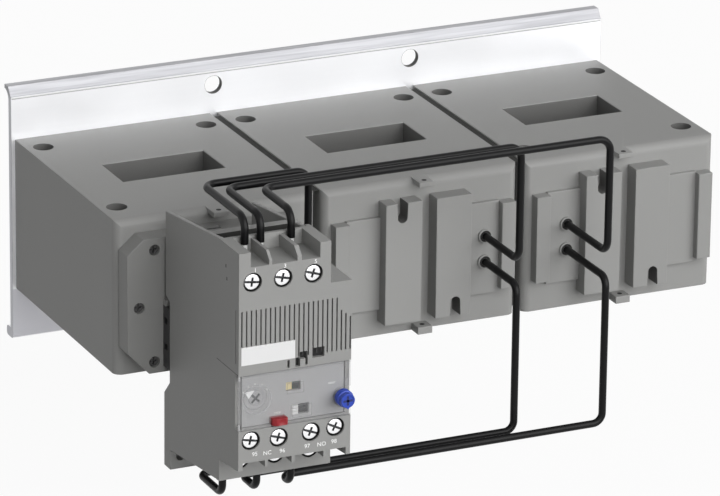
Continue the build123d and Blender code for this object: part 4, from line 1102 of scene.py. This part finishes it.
@dataclass
class Markings(Assembly):
    """Plain numbers and words beside the terminals, the dial and the buttons."""

    terminals: tuple[tuple[str, float, float], ...] = (
        ("1", 6.4, 62.2),
        ("3", 18.2, 62.2),
        ("5", 30.4, 62.2),
        ("95", 6.6, -9.6),
        ("NC", 11.6, -9.9),
        ("96", 17.6, -10.0),
        ("97", 27.6, -9.8),
        ("NO", 33.4, -9.9),
        ("98", 38.4, -9.6),
    )
    terminal_height: float = 1.7
    terminal_depth: float = -0.02
    dial: tuple[str, ...] = ("4", "5", "6", "7", "8")
    dial_height: float = 0.85
    dial_centre: Place = (7.4, 11.7)
    dial_reach: float = 5.45
    dial_start: float = 150.0
    dial_step: float = 30.0
    panel_words: tuple[tuple[str, float, float], ...] = (("RESET", 38.2, 12.9), ("STOP", 16.4, 4.4))
    word_height: float = 0.8
    panel_depth: float = 1.9
    print_depth: float = 1.88
    ticks: int = 21
    tick_reach: Span = (4.75, 5.0)
    tick_start: float = 210.0
    tick_sweep: float = 240.0
    tick_half: float = 0.05
    tick_proud: float = 0.04

    def build(self) -> None:
        """Makes the markings as raised print."""
        numbers = [
            self.shop.text(words, self.terminal_height, self.at(x, self.terminal_depth, z))
            for words, x, z in self.terminals
        ]
        whole = self.shop.join("terminal_numbers", numbers)
        self.shop.piece(whole, Body.FRAME, "pointer_white")
        marks = []
        for number, words in enumerate(self.dial):
            angle = math.radians(self.dial_start - self.dial_step * number)
            x = self.dial_centre[0] + self.dial_reach * math.cos(angle)
            z = self.dial_centre[1] + self.dial_reach * math.sin(angle)
            place = self.at(x, self.print_depth, z)
            marks.append(self.shop.text(words, self.dial_height, place))
        for words, x, z in self.panel_words:
            place = self.at(x, self.print_depth, z)
            marks.append(self.shop.text(words, self.word_height, place))
        marks.append(self.tick_marks().as_object("ticks"))
        whole = self.shop.join("dial_numbers", marks)
        self.shop.piece(whole, Body.FRAME, "pointer_white")

    def tick_marks(self) -> Shape:
        """The short marks round the dial.

        Returns:
            Flat bars that point at the dial's centre.
        """
        marks = Shape()
        centre = self.at(self.dial_centre[0], self.panel_depth, self.dial_centre[1])
        raised = Vector((0, -self.tick_proud * MM, 0))
        for number in range(self.ticks):
            angle = math.radians(self.tick_start - self.tick_sweep * number / (self.ticks - 1))
            out = Vector((math.cos(angle), 0, math.sin(angle)))
            side = Vector((-out.z, 0, out.x)) * self.tick_half * MM
            near, far = (centre + out * reach * MM for reach in self.tick_reach)
            marks.prism([near - side, far - side, far + side, near + side], raised)
        return marks


@dataclass
class CoverDress(Assembly):
    """The bead, the dial's ring and the window frames moulded on the clear cover."""

    width: float = 45.0
    low: float = 0.3
    high: float = 21.4
    bead: float = 0.5
    proud: float = 0.18
    sink: float = 0.02
    gap: Span = (12.9, 19.7)
    edge: float = 0.06
    frame_width: float = 0.3
    windows: tuple[Window, ...] = ((19.2, 26.1, 11.9, 16.3), (21.5, 29.4, 2.2, 7.2))
    ring_centre: Place = (7.4, 11.7)
    ring_profile: tuple[Place, ...] = (
        (5.25, 0.02), (5.25, -0.108), (5.4, -0.18), (5.8, -0.18), (5.95, -0.108),
        (5.95, 0.02), (5.25, 0.02),
    )
    ring_steps: int = 64

    def build(self) -> None:
        """Makes the moulded details as one piece that swings with the cover."""
        beads = Shape()
        for left, right, low, high in self.strips():
            deep = (-self.proud, self.sink)
            self.block(beads, (left, right), deep, (low, high), self.edge, 1)
        centre = self.at(self.ring_centre[0], 0, self.ring_centre[1])
        ring = Shape().lathe(centre, self.ring_profile, self.ring_steps)
        parts = [beads.as_object("cover_beads"), ring.as_object("cover_ring")]
        whole = self.shop.join("cover_mouldings", parts)
        self.shop.piece(whole, Body.COVER, "clear_cover", "clear_cover")

    def strips(self) -> list[Window]:
        """The straight strips of the rim and of the window frames.

        Returns:
            Left, right, bottom and top of each.
        """
        bead, thin = self.bead, self.frame_width
        strips = [
            (0.0, self.width, self.high - bead, self.high),
            (0.0, self.gap[0], self.low, self.low + bead),
            (self.gap[1], self.width, self.low, self.low + bead),
            (0.0, bead, self.low + bead, self.high - bead),
        ]
        for left, right, low, high in self.windows:
            strips += [
                (left, right, high - thin, high),
                (left, right, low, low + thin),
                (left, left + thin, low + thin, high - thin),
                (right - thin, right, low + thin, high - thin),
            ]
        return strips


@dataclass
class Dial(Assembly):
    """The setting dial with its bevelled rim, raised hub and crossed slot."""

    across: float = 7.4
    height: float = 11.7
    profile: tuple[Place, ...] = (
        (0.0, 1.45), (2.58, 1.45), (2.7, 1.55), (2.74, 1.82), (2.95, 1.7),
        (4.4, 1.7), (4.6, 1.9), (4.6, 2.9), (1.5, 2.9), (1.5, 8.0),
        (0.0, 8.0),
    )
    steps: int = 64
    slot_reach: float = 2.16
    slot_half: float = 0.425
    slot_floor: float = 2.05
    slot_turns: Span = (45.0, 135.0)
    recess: Span = (1.5, 2.1)
    pointer: tuple[Place, ...] = ((-4.1, 2.75), (-0.55, 3.1), (-2.75, 0.15))
    pointer_front: float = 1.4
    pointer_thickness: float = 0.29
    smooth: float = 35.0

    def centre(self) -> Vector:
        """The point on the dial's axis at the relay's front."""
        return self.at(self.across, 0, self.height)

    def build(self) -> None:
        """Makes the dial and its pointer in place of their CAD nodes."""
        centre = self.centre()
        dial = Shape().lathe(centre, self.profile, self.steps).as_object("setting_dial_shown")
        corners = [
            self.at(self.across + x, self.pointer_front, self.height + z) for x, z in self.pointer
        ]
        pointer = Shape().prism(corners, Vector((0, self.pointer_thickness * MM, 0)))
        shown = pointer.as_object("dial_pointer_shown")
        self.stand_in(shown, "dial_pointer", "pointer_white", self.smooth, Body.DIAL)
        corner = Vector((self.slot_reach, self.slot_floor, self.slot_half)) * MM
        opposite = Vector((-corner.x, 0, -corner.z))
        for turn in self.slot_turns:
            place = Matrix.Translation(centre) @ Matrix.Rotation(math.radians(turn), 4, "Y")
            self.shop.carve(dial, Shape().box(opposite, corner).moved(place))
        self.stand_in(dial, "setting_dial", "dial_grey", self.smooth, Body.DIAL)
        # Painted shade on the floor and walls of the crossed slot.
        self.shop.shade(dial, "painted_recess_shade", self.is_sunk)

    def is_sunk(self, point: Vector) -> bool:
        """Whether a face lies on the slot's floor or walls.

        Args:
            point: the face's centre.

        Returns:
            True inside the slot.
        """
        away = (point - self.centre()) / MM
        front, back = self.recess
        return front < away.y < back and math.hypot(away.x, away.z) < self.slot_reach


@dataclass
class Knob(Assembly):
    """The blue reset knob with its stepped rim, lug and cross."""

    across: float = 41.5
    height: float = 7.8
    profile: tuple[Place, ...] = (
        (0.0, -5.25), (2.05, -5.25), (2.25, -5.5), (2.55, -5.5), (2.8, -5.25),
        (2.85, -3.3), (3.1, -3.2), (3.3, -2.95), (3.3, -0.6), (3.1, -0.4),
        (0.98, -0.4), (0.98, -3.58), (0.0, -3.58),
    )
    steps: int = 56
    lug: tuple[Place, ...] = ((-1.54, -1.736), (1.54, -1.736), (0.0, -3.3))
    lug_front: float = -5.4
    lug_length: float = 2.3
    cross: Place = (1.848, 0.45)
    cross_depth: Span = (-5.31, -5.23)
    smooth: float = 40.0

    def build(self) -> None:
        """Makes the knob in place of its CAD node, and the dark cross in its face."""
        x, z = self.across, self.height
        body = Shape().lathe(self.at(x, 0, z), self.profile, self.steps)
        corners = [self.at(x + right, self.lug_front, z + up) for right, up in self.lug]
        lug = Shape().prism(corners, Vector((0, self.lug_length * MM, 0)))
        parts = [body.as_object("reset_knob_body"), lug.as_object("reset_lug")]
        whole = self.shop.join("reset_knob_shown", parts)
        self.stand_in(whole, "reset_knob", "knob_blue", self.smooth, Body.RESET)
        cross = Shape()
        for wide, tall in (self.cross, self.cross[::-1]):
            self.block(cross, (x - wide, x + wide), self.cross_depth, (z - tall, z + tall))
        self.shop.piece(cross.as_object("reset_cross"), Body.RESET, "knob_dark")


@dataclass
class ReturnSpring(Assembly):
    """A coil spring of a push button, which shortens as the button goes in; the copy keeps its
    length.
    """

    node: str
    joint: str
    smooth: float = 60.0

    def build(self) -> None:
        """Makes a merged copy in place of the CAD node."""
        spring = Shape.copy_of(self.node).as_object(f"{self.node}_shown")
        self.stand_in(spring, self.node, "screw_steel", self.smooth)
        low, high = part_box(self.node)
        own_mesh(spring)


@dataclass
class StopButton(Assembly):
    """The red push button, with rounded edges and a shallow finger dish."""

    outline: tuple[Place, ...] = (
        (13.3, 6.0), (13.3, -0.4), (14.8, -1.5), (18.8, -1.5), (19.3, -1.15),
        (19.3, 6.0),
    )
    up: Span = (0.6, 3.4)
    edge: float = 0.16
    segments: int = 2
    flange_across: Span = (12.6, 20.0)
    flange_deep: Span = (4.8, 6.0)
    dish_centre: Triple = (16.8, -1.5, 2.0)
    dish_profile: tuple[Place, ...] = (
        (0.0, 0.42), (0.85, 0.32), (1.7, -0.05), (1.7, -1.0), (0.0, -1.0),
    )
    dish_steps: int = 40
    smooth: float = 40.0

    def build(self) -> None:
        """Makes the button in place of its CAD node."""
        low, high = self.up
        corners = [self.at(x, deep, low) for x, deep in self.outline]
        body = Shape().prism(corners, Vector((0, 0, (high - low) * MM)))
        body.bevel(body.mesh.edges, self.edge * MM, self.segments)
        flange = Shape()
        self.block(flange, self.flange_across, self.flange_deep, self.up)
        button = body.as_object("stop_body")
        dish = Shape().lathe(self.at(*self.dish_centre), self.dish_profile, self.dish_steps)
        self.shop.carve(button, dish)
        whole = self.shop.join("stop_button_shown", [button, flange.as_object("stop_flange")])
        self.stand_in(whole, "stop_button", "button_red", self.smooth, Body.STOP)


@dataclass
class LeadEntries(Assembly):
    """The painted shade in the gap round each lead where it goes through its grommet."""

    leads: tuple[str, ...] = ("lead_top", "lead_bottom")
    numbers: tuple[int, ...] = (1, 2, 3)
    radius: float = 1.45
    walls: Span = (1.49, 2.3)
    depths: Span = (-0.05, 0.0)

    def build(self) -> None:
        """Makes one thin ring for each lead."""
        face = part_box("lead_grommets")[0].y
        rings = Shape()
        inset = self.radius * MM
        for kind in self.leads:
            for number in self.numbers:
                low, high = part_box(f"{kind}_{number}")
                height = low.z + inset if kind == "lead_top" else high.z - inset
                rings.ring(Vector((high.x - inset, face, height)), self.walls, self.depths)
        # Painted shade in the gaps round the leads.
        self.put(rings, "lead_gap_shades", "shade_black")


@dataclass
class GapShades(Assembly):
    """The painted shade in the gaps between the transformers, seen from above."""

    sunk: Span = (0.6, 0.5)
    front: float = 10.55
    back: float = 3.5
    clear: float = 0.05

    def build(self) -> None:
        """Makes one thin strip for each gap."""
        strips = Shape()
        clear = self.clear * MM
        for number in (1, 2):
            low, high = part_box(f"ct_housing_{number}")
            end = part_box(f"ct_housing_{number + 1}")[0].x
            bottom, top = (high.z - drop * MM for drop in self.sunk)
            strips.box(
                Vector((high.x + clear, low.y + self.front * MM, bottom)),
                Vector((end - clear, high.y - self.back * MM, top)),
            )
        # Painted shade in the gaps.
        self.put(strips, "gap_shades", "well_shade")


@dataclass
class TabHoles(Assembly):
    """The shades that close the small holes of the transformers' tabs."""

    across: float = 40.8
    upper_deep: float = 4.3
    lower_deep: float = 4.05
    lower_top: float = 3.0
    proud: float = 0.03
    radius: float = 1.0
    thickness: float = 0.05

    def build(self) -> None:
        """Makes two discs for each transformer."""
        discs = Shape()
        for number in (1, 2, 3):
            low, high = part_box(f"ct_housing_{number}")
            for deep, top in (
                (self.upper_deep, high.z),
                (self.lower_deep, low.z + self.lower_top * MM),
            ):
                middle = (low.x + self.across * MM, low.y + deep * MM, top + self.proud * MM)
                discs.disc(Vector(middle), self.radius, self.thickness)
        self.put(discs, "tab_shades", "shade_black")


@dataclass
class WellInside(Assembly):
    """The ridge across the relay's open top, with painted shade on its front and in the wire holes.
    """

    across: Span = (1.85, 34.85)
    ridge: Span = (30.2, 34.2)
    up: Span = (42.0, 66.5)
    edge: float = 0.4
    segments: int = 3
    front_shade: float = 0.08
    shade_drop: float = 0.15
    entry_places: tuple[float, ...] = (8.6, 14.9, 27.1)
    entry_half: float = 1.95
    entry_deep: Span = (12.6, 16.4)
    entry_up: Span = (62.4, 62.45)

    def build(self) -> None:
        """Makes the ridge and the shades."""
        ridge, shades = Shape(), Shape()
        self.block(ridge, self.across, self.ridge, self.up, self.edge, self.segments)
        self.put(ridge, "well_ridge", "grey_housing", "grey_housing")
        # Painted shade on the ridge's front and in the wire holes.
        front, (low, high) = self.ridge[0], self.up
        deep = (front - self.front_shade, front)
        self.block(shades, self.across, deep, (low, high - self.shade_drop))
        for x in self.entry_places:
            across = (x - self.entry_half, x + self.entry_half)
            self.block(shades, across, self.entry_deep, self.entry_up)
        self.put(shades, "well_shades", "well_shade")


@dataclass
class SideMarks(Assembly):
    """The seam and the catch marks on the relay's left wall."""

    across: Span = (-0.02, 0.02)
    marks: tuple[tuple[Span, Span], ...] = (
        ((0.3, 20.0), (21.9, 22.12)),
        ((11.55, 12.25), (60.15, 61.45)),
        ((10.65, 11.35), (55.45, 56.75)),
    )

    def build(self) -> None:
        """Makes the marks as thin shades on the wall."""
        shades = Shape()
        for deep, up in self.marks:
            self.block(shades, self.across, deep, up)
        self.put(shades, "side_marks", "groove_shade")


@dataclass
class PlateRib(Assembly):
    """The fine raised line along the foot of the plate's folded lip, white as a painted highlight,
    and the painted shade under it.
    """

    inset: float = 0.4
    line_deep: Span = (-2.8, -2.48)
    line_drop: Span = (4.2, 3.75)
    edge: float = 0.1
    shade_deep: Span = (-2.55, -2.48)
    shade_drop: Span = (4.55, 4.2)

    def strip(self, deep: Span, drop: Span, edge: float) -> Shape:
        """One strip along the plate.

        Args:
            deep: front and back in millimetres.
            drop: how far its bottom and top lie under the plate's top.
            edge: width of its rounded edges in millimetres, or 0.

        Returns:
            The strip.
        """
        low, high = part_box("mounting_plate")
        inset = self.inset * MM
        return Shape().box(
            Vector((low.x + inset, deep[0] * MM, high.z - drop[0] * MM)),
            Vector((high.x - inset, deep[1] * MM, high.z - drop[1] * MM)),
            edge * MM,
        )

    def build(self) -> None:
        """Makes the line, white as a painted highlight, and the painted shade under it."""
        line = self.strip(self.line_deep, self.line_drop, self.edge)
        # Painted highlight: the line is white, though it stands for a rib of the plate's metal.
        self.put(line, "plate_rib", "label_white", "aluminium")
        shade = self.strip(self.shade_deep, self.shade_drop, 0.0)
        # Painted shade under the line.
        self.put(shade, "plate_rib_shade", "panel_grey")


@dataclass
class PlateHoles(Assembly):
    """The painted shade on the walls of the plate's four fixing holes."""

    across: Span = (-42.5, 42.5)
    up: Span = (-42.2, 42.2)
    walls: Span = (3.62, 3.74)
    depths: Span = (-2.42, -0.08)

    def build(self) -> None:
        """Makes one thin ring for each hole."""
        rings = Shape()
        for x in self.across:
            for z in self.up:
                rings.ring(Vector((x, 0, z)) * MM, self.walls, self.depths)
        # Painted shade on the hole walls.
        self.put(rings, "plate_hole_shades", "painted_opening_shade")


@dataclass
class Studio:
    """Floor, light and camera."""

    floor_drop: float = 0.05
    floor_size: float = 14.0
    floor_thickness: float = 0.01
    floor_glow: float = 0.76
    floor_white: float = 1.235
    floor_shade: float = 0.24
    sky_light: float = 0.13
    key_strength: float = 4.0
    key_from: Triple = (0.32, -0.88, 0.27)
    key_angle: float = 75.0
    fill_strength: float = 0.5
    fill_from: Triple = (-1.0, -0.12, 0.2)
    fill_angle: float = 70.0
    camera_place: Triple = (-0.90148, -1.98167, 0.77042)
    camera_forward: Triple = (0.3966, 0.85025, -0.34609)
    camera_up: Triple = (0.13505, 0.31886, 0.93813)
    camera_reach: float = 50.0
    focal_pixels: float = 5815.9
    sensor: float = 36.0

    def shown(self, maker: NodeMaker) -> Wire:
        """Counts whether the camera, a reflection or clear plastic shows the surface.

        Args:
            maker: the maker of the floor's or the sky's nodes.

        Returns:
            The sum of the three answers.
        """
        rays = ("Is Camera Ray", "Is Glossy Ray", "Is Transmission Ray")
        camera, glossy, through = (maker.node("ShaderNodeLightPath", output=ray) for ray in rays)
        return camera + glossy + through

    def floor(self) -> None:
        """Makes a pale floor that shows white and keeps a soft shadow."""
        low = CAD_BOUNDS[0].z - self.floor_drop
        half = self.floor_size / 2
        slab = Shape().box(
            Vector((-half, -half, low - self.floor_thickness)), Vector((half, half, low))
        )
        made = slab.as_object("floor")
        material = bpy.data.materials.new("floor_white")
        maker = NodeMaker(material)
        shade = (*(self.floor_shade,) * 3, 1.0)
        plain = maker.node("ShaderNodeBsdfDiffuse", {}, {"Color": shade})
        white = {"Color": WHITE, "Strength": self.floor_white}
        glow = maker.node("ShaderNodeEmission", {}, white)
        factor = self.shown(maker) * self.floor_glow
        mixed = maker.node("ShaderNodeMixShader", {}, {0: factor, 1: plain, 2: glow})
        maker.node("ShaderNodeOutputMaterial", {}, {"Surface": mixed})
        made.data.materials.append(material)

    def sky(self) -> None:
        """Makes an even sky that is white to the camera and in reflections."""
        world = bpy.data.worlds.new("studio_sky")
        bpy.context.scene.world = world
        maker = NodeMaker(world)
        ambient, backdrop = (
            maker.node("ShaderNodeBackground", {}, {"Color": WHITE, "Strength": strength})
            for strength in (self.sky_light, 1.0)
        )
        ends = {0: self.shown(maker), 1: ambient, 2: backdrop}
        mixed = maker.node("ShaderNodeMixShader", {}, ends)
        maker.node("ShaderNodeOutputWorld", {}, {"Surface": mixed})

    def light(self, name: str, strength: float, come_from: Triple, angle: float) -> None:
        """Makes one broad light.

        Args:
            name: the light's name.
            strength: how strong it is.
            come_from: the direction that it comes from.
            angle: how wide it is, in degrees.
        """
        sun = bpy.data.lights.new(name, "SUN")
        sun.energy = strength
        sun.angle = math.radians(angle)
        holder = linked(name, sun)
        holder.rotation_euler = Vector(come_from).to_track_quat("Z", "Y").to_euler()

    def camera(self) -> None:
        """Makes the camera at the photograph's angle and distance."""
        data = bpy.data.cameras.new("camera")
        data.sensor_width = self.sensor
        data.lens = self.focal_pixels * self.sensor / IMAGE_WIDTH
        data.clip_end = self.camera_reach
        back = -Vector(self.camera_forward).normalized()
        right = Vector(self.camera_up).normalized().cross(back).normalized()
        turned = Matrix((right, back.cross(right), back)).transposed().to_4x4()
        holder = linked("camera", data)
        holder.matrix_world = Matrix.Translation(self.camera_place) @ turned
        bpy.context.scene.camera = holder

    def build(self) -> None:
        """Sets the view and makes everything round the object."""
        bpy.context.scene.view_settings.view_transform = "Standard"
        self.floor()
        self.sky()
        self.light("key_light", self.key_strength, self.key_from, self.key_angle)
        self.light("fill_light", self.fill_strength, self.fill_from, self.fill_angle)
        self.camera()


TOP_SCREWS: tuple[Place, ...] = ((5.4, 57.6), (17.5, 57.6), (29.6, 57.6))
AUX_SCREWS: tuple[Place, ...] = ((5.0, -4.1), (16.2, -4.6), (29.1, -4.4), (38.9, -4.0))
BOTTOM_SCREWS: tuple[Place, ...] = ((8.6, -18.5), (22.5, -18.5), (36.4, -18.5))


def main() -> None:
    """Builds the dressed relay and its studio, in order."""
    logging.basicConfig(level=logging.INFO)
    wardrobe = Wardrobe()
    wardrobe.dress_frame()
    shop = Workshop(wardrobe, RelayFrame.from_cad())
    assemblies = (
        SoftEdges(shop),
        ScrewRow(shop, "top_terminal_screws", TOP_SCREWS, face_depth=0.6, tip_depth=12.5),
        ScrewRow(shop, "aux_screws", AUX_SCREWS, face_depth=0.6, tip_depth=10.5, turn=12.0),
        ScrewRow(shop, "bottom_terminal_screws", BOTTOM_SCREWS, face_depth=17.5, tip_depth=33.1),
        FrontField(shop),
        Markings(shop),
        CoverDress(shop),
        Dial(shop),
        Knob(shop),
        StopButton(shop),
        ReturnSpring(shop, "reset_spring", "reset_push"),
        ReturnSpring(shop, "stop_spring", "stop_push"),
        LeadEntries(shop),
        GapShades(shop),
        TabHoles(shop),
        WellInside(shop),
        SideMarks(shop),
        PlateRib(shop),
        PlateHoles(shop),
    )
    for assembly in assemblies:
        assembly.build()
    Studio().build()
    LOG.info("made %d pieces", shop.count)


if __name__ == "__main__":
    main()
